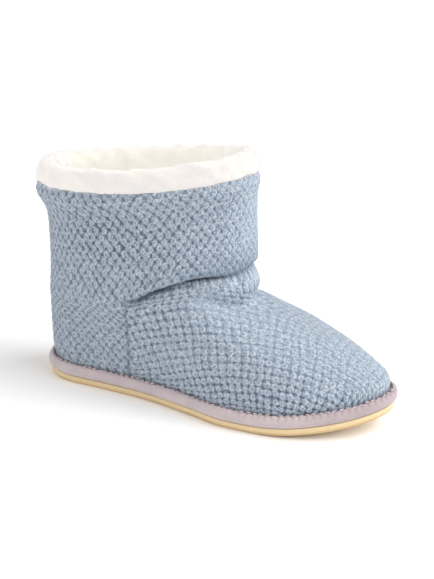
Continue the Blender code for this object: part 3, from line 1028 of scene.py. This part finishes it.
def leg_block(level, angle, settings):
    """Points, UV map and shading values of one block of the leg piece."""
    point = upper_point(level, angle)
    normal = upper_normal(level, angle)
    u, v = unsettle(point, leg_lattice(level, angle, settings), 0.14, 3)
    turned = mirrored(angle)
    share = ring_share(turned)
    # Way to the seam that edges the piece, and up from the vamp's top edge, the rand and the ankle fold
    ahead = turned > SEAM_TOP
    edge = seam_angle(np.minimum(level, SEAM_TOP_LEVEL))
    beside = round_length(level, edge) - round_length(level, np.minimum(turned, edge))
    height = up_length(level, angle)
    above = height - up_length(np.where(ahead, cut_level(turned), SEAM_TOP_LEVEL), angle)
    seam = np.where(ahead, above, np.where(level <= SEAM_TOP_LEVEL, beside, np.hypot(beside, above)))
    crease = height - up_length(path_level("crease", share), angle)
    dip = mound(np.maximum(seam, 0), SEAM_SOFTNESS)
    over = overhang(turned) * np.where(ahead, 1.0, 0.0)
    pocket = ease(share, *POCKET_IN) * (1 - 0.75 * ease(share, *POCKET_OUT))
    tuck, inward = rand_tuck(height)
    # Roll of cloth below the front of the fold, the painted shading of the knit, and the painted shade of
    # seams, tucks and the ankle fold
    roll = np.where(ahead, ease(share, *ROLL_IN), 0.0) * ease(-crease, 0.0, 2.0)
    tone = np.maximum(painted_cloth_shading(point, normal) + 0.25 * roll, LEAST_TONE)
    lift = stitch_relief(u, v, tone) * settings.relief / MM - SEAM_DIVE * dip - inward + folds(point)
    lift += over * swell(above, OVERHANG)
    lift += pocket * swell(crease, POCKET)
    # Painted shade in the seams, under the overhang, in the fold's pocket and in a band beside the ankle fold
    wide = np.where(crease > 0, 8.0 + 5.0 * ease(share, *SHADOW_WIDENS), 1.6)
    shade = np.maximum(SEAM_SHADE * dip * (1 - 0.9 * roll), TUCK_SHADE * over * mound(above, 1.7))
    shade = np.maximum(shade, TUCK_SHADE * pocket * mound(crease, 1.6))
    shade = np.maximum(shade, FOLD_SHADE * mound(crease, wide) * ease(share, *SHADOW_IN))
    place = point + normal * lift[..., None] + tuck
    return place, np.stack([u, v], axis=-1), {"shade": shade, "tone": tone}


# Soft troughs and ridges on the outer side: points (y, z) along each, half width and lift. The inner side
# carries them too, moved forwards a little.
FOLDS = (
    (((44, 84), (20, 93), (-4, 101), (-22, 104)), 6.0, -0.9),
    (((60, 78), (34, 82), (10, 88)), 7.0, 0.7),
    (((112, 96), (84, 92), (60, 92)), 9.0, -0.7),
    (((118, 70), (92, 74), (66, 72)), 9.0, 0.6),
    (((-12, 140), (-4, 118), (6, 104)), 9.0, -0.6),
    (((96, 132), (92, 116), (94, 100)), 10.0, 0.6),
    (((52, 138), (50, 120), (44, 106)), 11.0, -0.5),
)


def folds(point):
    """Lift of the cloth by its listed troughs and ridges."""
    lift = np.zeros(point.shape[:-1])
    forward = np.where(point[..., 0] > 0, 6.0, 0.0)
    place = np.stack([point[..., 1] + forward, point[..., 2]], axis=-1)
    for path, width, height in FOLDS:
        path = np.array(path, float)
        nearest = np.full(lift.shape, 1e9)
        for start, end in zip(path, path[1:]):
            way = end - start
            share = np.clip(((place - start) @ way) / (way @ way), 0, 1)
            nearest = np.minimum(nearest, np.linalg.norm(place - start - share[..., None] * way, axis=-1))
        lift += height * mound(nearest, width)
    return lift * ease(np.abs(point[..., 0]), 4.0, 26.0)


def build_leg(settings):
    """Leg piece of the knit: the heel below the crease and the shaft above it, in one cloth."""
    heel_columns, front_columns = 266, 222
    heel_rows, shaft_rows, lip_rows = 88, 122, 6
    share = np.linspace(0, 1, heel_columns)
    side = TABLE_ANGLES[np.searchsorted(TABLE_ANGLES, LEG_SIDE)]
    climb = up_length(TABLE_LEVELS, np.full_like(TABLE_LEVELS, side))
    turn = float(up_length(np.array([SEAM_TOP_LEVEL]), np.array([side]))[0])
    level = np.interp(np.linspace(0, turn, heel_rows), climb, TABLE_LEVELS)
    level[-1] = SEAM_TOP_LEVEL
    level = np.repeat(level[:, None], heel_columns, axis=1)
    edge = seam_angle(level)
    heel = lay_grid("knit_part", *leg_block(level, -edge + 2 * edge * share, settings))
    back = -SEAM_TOP + 2 * SEAM_TOP * share
    front = np.linspace(SEAM_TOP, TURN - SEAM_TOP, front_columns)
    angle = np.concatenate([back, front[1:]])
    start = np.where(angle > SEAM_TOP, cut_level(angle), SEAM_TOP_LEVEL)
    angles = np.repeat(angle[None, :], shaft_rows, axis=0)
    level = even_levels(angles, start, np.full_like(start, EDGE_LEVEL))
    point, uv, values = leg_block(level, angles, settings)
    lip, lip_uv = leg_lip(point[-1], uv[-1], angle, lip_rows)
    for key, value in values.items():
        values[key] = np.concatenate([value, np.repeat(value[-1:], lip_rows, axis=0)])
    shaft = lay_grid("knit_part", np.concatenate([point, lip]), np.concatenate([uv, lip_uv]), values)
    piece = join("knit_leg", [heel, shaft])
    merge_seams(piece)
    bpy.ops.object.shade_smooth()
    return piece


def leg_lip(edge, uv, angle, rows):
    """Turned-in edge at the collar: the cloth rolls over and goes down behind itself."""
    radius, two_rows = 1.5, 9.0
    roll = np.linspace(0, 1, rows + 1)[1:, None] * math.pi * 0.9
    normal = upper_normal(np.full_like(angle, EDGE_LEVEL), angle, slouch=False)
    flat = unit(np.concatenate([normal[:, :2], np.zeros((len(angle), 1))], axis=1))
    lip = edge[None] - flat[None] * (radius * (1 - np.cos(roll)))[..., None]
    lip[..., 2] += radius * np.sin(roll)
    return lip, np.repeat(uv[None], rows, axis=0) + (roll * radius / two_rows)[..., None]


def even_levels(angle, start, end):
    """Levels that climb evenly, by length of the way up, from start to end in each column of angles."""
    rows = angle.shape[0]
    fine = np.linspace(0, 1, 220)[:, None]
    level = start + (end - start) * fine
    way = running_length(upper_point(level, angle[:1], slouch=True), axis=0)
    even = np.empty(angle.shape)
    for column in range(angle.shape[1]):
        target = np.linspace(0, way[-1, column], rows)
        even[:, column] = np.interp(target, way[:, column], level[:, column])
    even[0], even[-1] = start, end
    return even


def smooth_table(table, row, column, even):
    """Value on the smooth surface through a table, whose last column mirrors the others where even is set."""
    table = np.array(table, float)
    rows, columns = table.shape
    table = np.concatenate([2 * table[:1] - table[1:2], table, 2 * table[-1:] - table[-2:-1]])
    last = table[:, -2:-1] if even else 2 * table[:, -1:] - table[:, -2:-1]
    table = np.concatenate([2 * table[:, :1] - table[:, 1:2], table, last], axis=1)
    i = np.clip(row, 0, rows - 1.001).astype(int)
    j = np.clip(column, 0, columns - 1.001).astype(int)
    total = np.zeros(np.broadcast(row, column).shape)
    for down, down_weight in enumerate(spline_weights(row - i)):
        for along, along_weight in enumerate(spline_weights(column - j)):
            total += down_weight * along_weight * table[i + down, j + along]
    return total


def spline_weights(t):
    """Weights of four neighbours on the smooth curve between the middle two."""
    return (
        -0.5 * t + t**2 - 0.5 * t**3,
        1 - 2.5 * t**2 + 1.5 * t**3,
        0.5 * t + 2 * t**2 - 1.5 * t**3,
        -0.5 * t**2 + 0.5 * t**3,
    )


def vamp_lattice(level, angle, settings):
    """Stitch coordinates on the vamp: rows that arch along the foot, columns bowed over the instep."""
    column = (np.degrees(mirrored(angle)) - 60) / 15
    u = smooth_table(VAMP_COLUMNS, level, column, even=True)
    v = smooth_table(VAMP_ROWS, level, column, even=False)
    return u / settings.vamp_size, v / settings.vamp_size


def build_vamp(settings):
    """Vamp of the knit, from side seam round the toe to side seam, and up behind the leg's fold."""
    columns, rows, hidden = 520, 170, 4
    share = np.linspace(0, 1, columns)
    angle = np.repeat((SEAM_TOP + share * (TURN - 2 * SEAM_TOP))[None, :], rows, axis=0)
    # The side seam's angle changes with the level, and the levels with the angle, so both are settled in turn
    for _ in range(4):
        turned = mirrored(angle[-1])
        level = even_levels(angle, np.zeros(columns), cut_level(turned))
        edge = seam_angle(np.minimum(level, SEAM_TOP_LEVEL))
        angle = edge + share * (TURN - 2 * edge)
    turned = mirrored(angle[-1])
    level[-1] = cut_level(turned)
    beyond = np.arange(1, hidden + 1)[:, None] / hidden
    level = np.concatenate([level, level[-1] + 0.5 * beyond])
    angle = np.concatenate([angle, np.repeat(angle[-1:], hidden, axis=0)])
    point = upper_point(level, angle)
    normal = upper_normal(level, angle)
    u, v = unsettle(point, vamp_lattice(level, angle, settings), 0.13, 5)
    across = running_length(point, axis=1)
    up = running_length(point, axis=0)
    top = up[rows - 1] - up
    over = overhang(turned)[None, :]
    ahead = ease(ring_share(turned), *INSTEP_IN)
    dip = mound(np.minimum(np.minimum(across, across[:, -1:] - across), np.abs(top)), SEAM_SOFTNESS)
    tuck, inward = rand_tuck(up)
    # Painted shading of the knit, as on the leg piece
    tone = painted_cloth_shading(point, normal)
    lift = stitch_relief(u, v, tone) * settings.relief / MM - SEAM_DIVE * dip - inward
    lift += 0.4 * noise(point, 24.0, 7)
    lift -= over * 1.9 * mound(np.maximum(top, 0), 3.0)
    lift -= np.where(top < 0, 0.5 - 0.9 * top, 0)
    # Painted shade at the seams, less of it over the instep, and under the leg piece's overhang
    shade = SEAM_SHADE * dip * (1 - 0.9 * ahead * (np.abs(top) < 4))
    shade = np.maximum(shade, 0.8 * over * (1 - ahead) * mound(top, 3.2))
    place = point + normal * lift[..., None] + tuck
    return lay_grid("knit_vamp", place, np.stack([u, v], axis=-1), {"shade": shade, "tone": tone})


def pile_lumps(point, size, seed):
    """Lumps of short pile, and how deep each point lies between them."""
    lump = noise(point, 7.0, seed) + 0.6 * noise(point, size, seed + 1)
    return lump, np.clip(0.5 - 0.45 * lump, 0, 1)


def build_lining():
    """Pile inside the shaft and the foot, from the footbed up into the rim."""
    columns, rows = 240, 120
    angle = np.repeat(np.linspace(TURN, 0, columns)[None, :], rows, axis=0)
    level = even_levels(angle, *(np.full(columns, end) for end in LINING_LEVELS))
    share = ring_share(angle)
    height = up_length(level, angle)
    below = height - up_length(path_level("crease", share), angle)
    # Clear of the ankle fold, and in over the footbed's edge
    inset = LINING_INSET + 3.9 * ease(share, 0.5, 0.6) * mound(below, 7.0)
    inset += 3.0 * mound(height, 1.6)
    point = inside_point(level, inset, angle)
    lump, depth = pile_lumps(point, 3.4, 31)
    uv = length_map(point)
    point = point + grid_normals(point) * (PILE_LIFT + PILE_LIFT * lump)[..., None]
    point[:, -1] = point[:, 0]
    return lay_grid("pile_lining", point, uv, {"depth": depth}, closed=True)


def build_footbed():
    """Footbed under its pile: crowned over the middle, turned down at the edge."""
    columns, rows = 96, 240
    bed = OUTSOLE_THICKNESS + RAND_THICKNESS + GAP
    half = np.linspace(0, math.pi, rows)[:, None]
    across = np.linspace(-1, 1, columns)[None, :]
    grow = -SEAM_INSET - UPPER_WALL - FOOTBED_CLEARANCE
    reach = np.sign(across) * (1 - (1 - np.abs(across)) ** 1.5)
    share = ((reach + 1) / 2)[..., None]
    plan = sole_plan(half, grow) * (1 - share) + sole_plan(TURN - half, grow) * share
    rim = np.minimum(1 - np.abs(reach), 0.5 * np.sin(half))
    fall = 1 - ease(rim, 0.0, 0.10)
    point = on_sole(plan, bed + INSOLE_THICKNESS - FOOTBED_FALL * fall)
    lump, depth = pile_lumps(point, 3.2, 41)
    point[..., 2] += (0.2 + 0.8 * lump) * (1 - fall)
    point, depth = point[:, ::-1], depth[:, ::-1]
    return lay_grid("footbed_pile", point, point[..., :2], {"depth": depth}, closed=True)


def closed_curve(rows, column, at):
    """Smooth closed curve through one column of a table's rows, read at shares of the way round."""
    values = np.array([row[column] for row in rows], float)
    place = np.mod(at, 1.0) * len(rows)
    index = np.floor(place).astype(int)
    t = place - index
    a, b, c, d = (values[(index + shift) % len(rows)] for shift in (-1, 0, 1, 2))
    cubic = (2 * a - 5 * b + 4 * c - d) * t**2 + (3 * b - a - 3 * c + d) * t**3
    return 0.5 * (2 * b + (c - a) * t + cubic)


def plush_surface(settings):
    """Points on the plush rim, how deep each lies between tufts, and how much of a tuft there is."""
    rows, columns = PLUSH_GRID
    share = np.linspace(0, 1, rows)[:, None] + np.zeros((1, columns))
    angle = np.linspace(0, TURN, columns)[None, :] + np.zeros((rows, 1))
    level, inset, height, lock = (closed_curve(PLUSH_SECTION, column, share) for column in range(4))
    lock = np.clip(lock, 0, 1)
    point = inside_point(np.clip(level, 12.0, EDGE_LEVEL), inset, angle)
    point[..., 2] += height
    inward, upward = inset - PLUSH_HEART[0], height - PLUSH_HEART[1]
    reach = np.maximum(np.hypot(inward, upward), 1.0)
    plan = outward(point[:, :-2, :2], point[:, 2:, :2])
    plan = np.concatenate([plan[:, :1], plan, plan[:, -1:]], axis=1)
    turn = share * len(PLUSH_SECTION)
    waves = 0.5 * (np.cos(angle * 27 + turn * 2.7) + np.cos(angle * 16 + turn * 1.9))
    lump = 0.45 * waves + 0.9 * noise(point, 9.0, 51) + 0.35 * noise(point, 4.5, 52)
    tuft = settings.tuft / MM * lock * lump
    point[..., :2] += plan * (-tuft * inward / reach)[..., None]
    point[..., 2] += tuft * upward / reach
    # Deeper between the tufts and on the rim's inner side, where the painted glow is stronger and the colour
    # turns to the roots'
    return point, np.clip(0.35 - 0.4 * lump + 0.5 * ease(inset, 10.0, 15.0), 0, 1), lock


def build_plush(settings):
    """Deep plush rim, a soft ring of tufts that covers the knit's turned edge."""
    point, depth, _ = plush_surface(settings)
    for values in (point, depth):
        values[:, -1] = values[:, 0]
        values[-1] = values[0]
    uv = length_map(point)
    return lay_grid("plush_rim", point, uv, {"depth": depth}, closed=True)


# Faces of one spike, whose points are two rings of three and its tip, and how deep in the pile its points lie
SPIKE_FACES = (
    (0, 1, 4), (0, 4, 3), (1, 2, 5), (1, 5, 4), (2, 0, 3), (2, 3, 5), (3, 4, 6), (4, 5, 6), (5, 3, 6),
)
SPIKE_DEPTH = (0.5, 0.5, 0.5, 0.1, 0.1, 0.1, 0.0)


def scatter_fibres(name, place, normal, count, length, wide, stray, seed):
    """Thin curved spikes at random points out of a list, each three-sided and bent in the middle."""
    rng = np.random.default_rng(seed)
    pick = rng.integers(0, len(place), count)
    root = place[pick] + rng.normal(0, 0.3, (count, 3))
    out = normal[pick]
    lean = unit(out + rng.normal(0, stray, (count, 3)))
    curl = rng.normal(0, 0.5, (count, 3))
    length = length * rng.uniform(0.5, 1.15, count)[:, None]
    side = unit(np.cross(lean, rng.normal(0, 1, (count, 3))))
    other = np.cross(lean, side)
    wide = wide * rng.uniform(0.65, 1.35, count)[:, None]
    rings = []
    for along, taper in ((-0.15, 1.0), (0.5, 0.75)):
        middle = root + lean * length * along + curl * length * max(along, 0) ** 2
        for turn in (0.0, 1.0, 2.0):
            around = TURN * turn / 3
            rings.append(middle + (side * math.cos(around) + other * math.sin(around)) * wide * taper)
    rings.append(root + lean * length + curl * length)
    vertices = np.stack(rings, axis=1).reshape(-1, 3)
    faces = np.concatenate([np.arange(count)[:, None] * 7 + np.array(face) for face in SPIKE_FACES])
    piece = mesh_from(name, vertices, faces)
    depth = piece.data.attributes.new("depth", "FLOAT", "POINT")
    depth.data.foreach_set("value", np.tile(SPIKE_DEPTH, count).astype(np.float32))
    away = piece.data.attributes.new("out", "FLOAT_VECTOR", "POINT")
    away.data.foreach_set("vector", np.repeat(out, 7, axis=0).ravel().astype(np.float32))
    return piece


def build_fibres(settings):
    """Loose fibres of the rim, which soften its outline."""
    point, _, lock = plush_surface(settings)
    likely = lock > 0.3
    place, normal = point[likely], grid_normals(point)[likely]
    return scatter_fibres("plush_fibres", place, normal, settings.fibres, settings.fibre / MM, 0.14, 0.55, 61)


def build_nap(settings, cloths):
    """Short wool nap that stands off the knit."""
    place, normal = [], []
    for cloth in cloths:
        for key, values in (("co", place), ("normal", normal)):
            flat = np.empty(len(cloth.data.vertices) * 3)
            cloth.data.vertices.foreach_get(key, flat)
            values.append(flat.reshape(-1, 3))
    place, normal = np.concatenate(place) / MM, np.concatenate(normal)
    return scatter_fibres("knit_nap", place, normal, settings.hairs, settings.nap / MM, 0.055, 0.7, 62)


def sole_band(side, rows, angle, foot=0.0):
    """Points round a side of the sole, how far each row stands out, its height and its way up the side."""
    side = np.array(side)
    way = running_length(side, axis=0)
    at = np.linspace(0, way[-1], rows)[:, None]
    grow, height = (np.interp(at, way, side[:, i]) for i in (0, 1))
    return sole_point(angle + 0 * grow, grow, foot + height + 0 * angle), grow, height, at


def build_rand(settings):
    """Cloth wrapped over the rand board, gathered in small pleats round the toe."""
    angle = np.linspace(0, TURN, 4000)
    around = running_length(sole_point(angle, 0.0, np.zeros_like(angle)), axis=0)
    length = np.linspace(0, around[-1], 960)[None, :]
    angle = np.interp(length, around, angle)
    point, grow, height, at = sole_band(RAND_SIDE, 30, angle, OUTSOLE_THICKNESS)
    front = -point[..., 1]
    forefoot = ease(front, -10, 70)
    pitch = around[-1] / round(around[-1] / (settings.pleat_width / MM))
    fold = np.abs(np.cos(math.pi * (length / pitch + 0.16 * noise(point, 22.0, 71)))) ** 0.7
    top = ease(height, 5.0, 7.6)
    pleat = forefoot * top * (1 - fold)
    wrinkle = noise(point * (1, 1, 2.5), 11.0, 72) * ease(height, 1.5, 4.0)
    swelling = -PLEAT_DEPTH * pleat + WRINKLE_DEPTH * wrinkle + PLEAT_SWELL * forefoot * top * fold
    point = point + grid_normals(point) * (swelling * ease(height, 0.6, 1.6))[..., None]
    point[:, -1] = point[:, 0]
    # Painted shade in the pleats, in the seam groove along the top edge and over the toe
    seam = ease(-grow, 1.5, 2.4) * ease(height, 6.5, 8.0) * (1 - 0.6 * ease(front, 85, 125))
    depth = np.clip(0.3 * pleat + seam + 0.36 * ease(front, 60, 125), 0, 1)
    uv = np.stack(np.broadcast_arrays(length, at), axis=-1)
    return lay_grid("rand_cloth", point, uv, {"depth": depth}, closed=True)


def build_stitches(settings):
    """Thread of the rand seam: one stitch, copied along the rand's top edge."""
    rng = np.random.default_rng(63)
    angle = np.linspace(0, TURN, 4000)
    line = sole_point(angle, STITCH_LINE[0], np.full_like(angle, OUTSOLE_THICKNESS + STITCH_LINE[1]))
    way = running_length(line, axis=0)
    count = int(way[-1] / (settings.stitch_step / MM))
    deselect()
    bpy.ops.mesh.primitive_uv_sphere_add(segments=6, ring_count=4, radius=1.0)
    stitch = bpy.context.object
    for shape in (
        Matrix.Rotation(math.pi / 2, 4, "Y"),
        Matrix.Diagonal((*STITCH_SIZE, 1)),
        Matrix.Rotation(STITCH_LEAN, 4, "Z"),
    ):
        stitch.data.transform(shape)
    copies = []
    for at in np.linspace(0, way[-1], count, endpoint=False):
        steps = (at % way[-1], (at + 0.5) % way[-1])
        here, ahead = (np.array([np.interp(step, way, line[:, i]) for i in range(3)]) for step in steps)
        copy = stitch.copy()
        copy.data = stitch.data.copy()
        bpy.context.scene.collection.objects.link(copy)
        copy.location = Vector((here + rng.normal(0, (0.25, 0.25, 0.22))) * MM)
        copy.rotation_euler = Vector(ahead - here).to_track_quat("X", "Z").to_euler()
        copy.rotation_euler.z += rng.normal(0, 0.26)
        copy.scale = (rng.uniform(0.75, 1.15), rng.uniform(0.7, 1.1), rng.uniform(0.7, 1.1))
        copies.append(copy)
    bpy.data.objects.remove(stitch, do_unlink=True)
    piece = join("rand_stitches", copies)
    bpy.ops.object.transform_apply(location=True, rotation=True, scale=True)
    bpy.ops.object.shade_smooth()
    return piece


def build_sole():
    """Sole sheet in two layers, with a fine ribbed tread underneath."""
    angle = np.linspace(0, TURN, 400)[None, :]
    point, _, height, at = sole_band(SOLE_SIDE, 34, angle)
    point[:, -1] = point[:, 0]
    layer = np.clip(1 - ease(height, 1.9, 2.35) + 0 * angle, 0, 1)
    uv = np.stack(np.broadcast_arrays(angle * 100, at), axis=-1)
    wall = lay_grid("sole_wall", point, uv, {"depth": layer}, closed=True)
    half = np.linspace(0, math.pi, 420)[:, None]
    share = np.linspace(0, 1, 48)[None, :]
    plan = sole_plan(half, TREAD_EDGE) * (1 - share)[..., None]
    plan = plan + sole_plan(TURN - half, TREAD_EDGE) * share[..., None]
    rim = np.minimum(np.minimum(share, 1 - share) * 2, np.sin(half))
    # Ribs across the sole, in waves
    depth, length = TREAD_WAVE
    rib = np.cos(TURN * (plan[..., 1] + depth * np.cos(TURN * plan[..., 0] / length)) / TREAD_PITCH)
    tread = TREAD_HEIGHT * ease(0.5 + 0.5 * rib, 0.55, 0.8) * ease(rim, 0.05, 0.12)
    under = lay_grid("sole_tread", on_sole(plan, tread), plan, {"depth": np.ones_like(tread)}, closed=True)
    return join("sole_sheet", [wall, under])


# Stage, in metres: the floor's radius, the camera's place and aim, and each light's name, the setting of its
# strength, its place, how many degrees across it is, and its colour
FLOOR_RADIUS = 9.0
CAMERA_PLACE = (-0.6883, -0.3314, 0.3686)
CAMERA_AIM = (0.0007, -0.0015, 0.0774)
LIGHTS = (
    ("key_light", "key", (0.16, -0.74, 0.66), 55.0, "#FFFFFF"),
    ("fill_light", "fill", (-0.55, 0.70, 0.45), 70.0, "#F8FBFF"),
)


class BootOperator:
    """What the boot's operators share."""

    bl_options = {"REGISTER", "UNDO"}


class BOOT_OT_knit(BootOperator, bpy.types.Operator):
    """Knit the leg piece and the vamp"""

    bl_idname = "boot.knit"
    bl_label = "Knit upper"

    def execute(self, context):
        settings = context.scene.boot_knit
        leg = knit_material("wool_blend_brick_knit", settings, (0.15, 0.24), 6.5)
        vamp = knit_material("wool_blend_net_knit", settings, (0.19, 0.19), 4.4)
        nap = fibre_material("wool_nap", settings.light, settings.mid, 1.0, 0.0)
        cloths = build_leg(settings), build_vamp(settings)
        dress(build_nap(settings, cloths), nap, "upper")
        dress(cloths[0], leg, "upper")
        dress(cloths[1], vamp, "upper")
        return {"FINISHED"}


class BOOT_OT_lining(BootOperator, bpy.types.Operator):
    """Line the boot with pile and lay its footbed"""

    bl_idname = "boot.lining"
    bl_label = "Pile lining"

    def execute(self, context):
        pile = pile_material("short_sherpa_pile", context.scene.boot_plush, 1.3)
        dress(build_lining(), pile, "upper")
        dress(build_footbed(), pile, "insole")
        return {"FINISHED"}


class BOOT_OT_plush(BootOperator, bpy.types.Operator):
    """Make the plush rim and its loose fibres"""

    bl_idname = "boot.plush"
    bl_label = "Plush rim"

    def execute(self, context):
        settings = context.scene.boot_plush
        rim = pile_material("deep_sherpa_plush", settings, 1.0)
        # The loose fibres get a painted glow stronger than the rim's
        fibres = fibre_material("loose_sherpa_fibre", settings.tip, settings.root, 0.4, 2.1 * settings.glow)
        dress(build_plush(settings), rim, "fleece_collar")
        dress(build_fibres(settings), fibres, "fleece_collar")
        return {"FINISHED"}


class BOOT_OT_rand(BootOperator, bpy.types.Operator):
    """Wrap the rand in cloth and sew its seam"""

    bl_idname = "boot.rand"
    bl_label = "Rand and its seam"

    def execute(self, context):
        settings = context.scene.boot_sole
        dress(build_rand(settings), rand_material(settings), "midsole")
        dress(build_stitches(settings), thread_material(settings), "midsole")
        return {"FINISHED"}


class BOOT_OT_sole(BootOperator, bpy.types.Operator):
    """Make the sole sheet with its tread"""

    bl_idname = "boot.sole"
    bl_label = "Sole sheet"

    def execute(self, context):
        dress(build_sole(), sole_material(context.scene.boot_sole), "outsole")
        return {"FINISHED"}


class BOOT_OT_stage(BootOperator, bpy.types.Operator):
    """Set the floor, the lights and the camera"""

    bl_idname = "boot.stage"
    bl_label = "Stage"

    def execute(self, context):
        scene = context.scene
        settings = scene.boot_stage
        deselect()
        bpy.ops.mesh.primitive_circle_add(vertices=96, radius=FLOOR_RADIUS, fill_type="NGON")
        floor = bpy.context.object
        floor.name = "studio_floor"
        floor.data.materials.append(floor_material(settings))
        world = bpy.data.worlds.new("studio_surround")
        world.use_nodes = True
        background = {"Color": (*linear("#FFFCF9"), 1), "Strength": settings.world}
        feed(world.node_tree, world.node_tree.nodes["Background"], background)
        scene.world = world
        for name, setting, place, spread, colour in LIGHTS:
            bpy.ops.object.light_add(type="SUN", location=place)
            light = bpy.context.object
            light.name = name
            light.data.energy = getattr(settings, setting)
            light.data.angle = math.radians(spread)
            light.data.color = linear(colour)
            light.rotation_euler = (-Vector(place)).to_track_quat("-Z", "Y").to_euler()
        bpy.ops.object.camera_add(location=CAMERA_PLACE)
        camera = bpy.context.object
        camera.name = "photo_camera"
        camera.data.lens = settings.lens
        camera.data.sensor_width = 36.0
        aim = Vector(CAMERA_AIM) - camera.location
        camera.rotation_euler = aim.to_track_quat("-Z", "Y").to_euler()
        scene.camera = camera
        scene.view_settings.view_transform = "Standard"
        return {"FINISHED"}


class BOOT_PT_panel(bpy.types.Panel):
    """Panel that lists the boot's pieces"""

    bl_label = "Knit Slipper Boot"
    bl_idname = "BOOT_PT_panel"
    bl_space_type = "VIEW_3D"
    bl_region_type = "UI"
    bl_category = "Boot"

    def draw(self, context):
        for operator in OPERATORS:
            self.layout.operator(operator.bl_idname)
        for group in GROUPS:
            for name in GROUPS[group].__annotations__:
                self.layout.prop(getattr(context.scene, group), name)


OPERATORS = (BOOT_OT_knit, BOOT_OT_lining, BOOT_OT_plush, BOOT_OT_rand, BOOT_OT_sole, BOOT_OT_stage)
GROUPS = {"boot_knit": BootKnit, "boot_plush": BootPlush, "boot_sole": BootSole, "boot_stage": BootStage}


def register():
    """Add the boot's settings, operators and panel."""
    for group, kind in GROUPS.items():
        bpy.utils.register_class(kind)
        setattr(bpy.types.Scene, group, PointerProperty(type=kind))
    for kind in (*OPERATORS, BOOT_PT_panel):
        bpy.utils.register_class(kind)


def unregister():
    """Take the boot's settings, operators and panel away."""
    for kind in reversed((*OPERATORS, BOOT_PT_panel)):
        bpy.utils.unregister_class(kind)
    for group, kind in GROUPS.items():
        delattr(bpy.types.Scene, group)
        bpy.utils.unregister_class(kind)


def main():
    """Build the boot and its stage."""
    register()
    bpy.ops.boot.knit()
    bpy.ops.boot.lining()
    bpy.ops.boot.plush()
    bpy.ops.boot.rand()
    bpy.ops.boot.sole()
    bpy.ops.boot.stage()


if __name__ == "__main__":
    main()
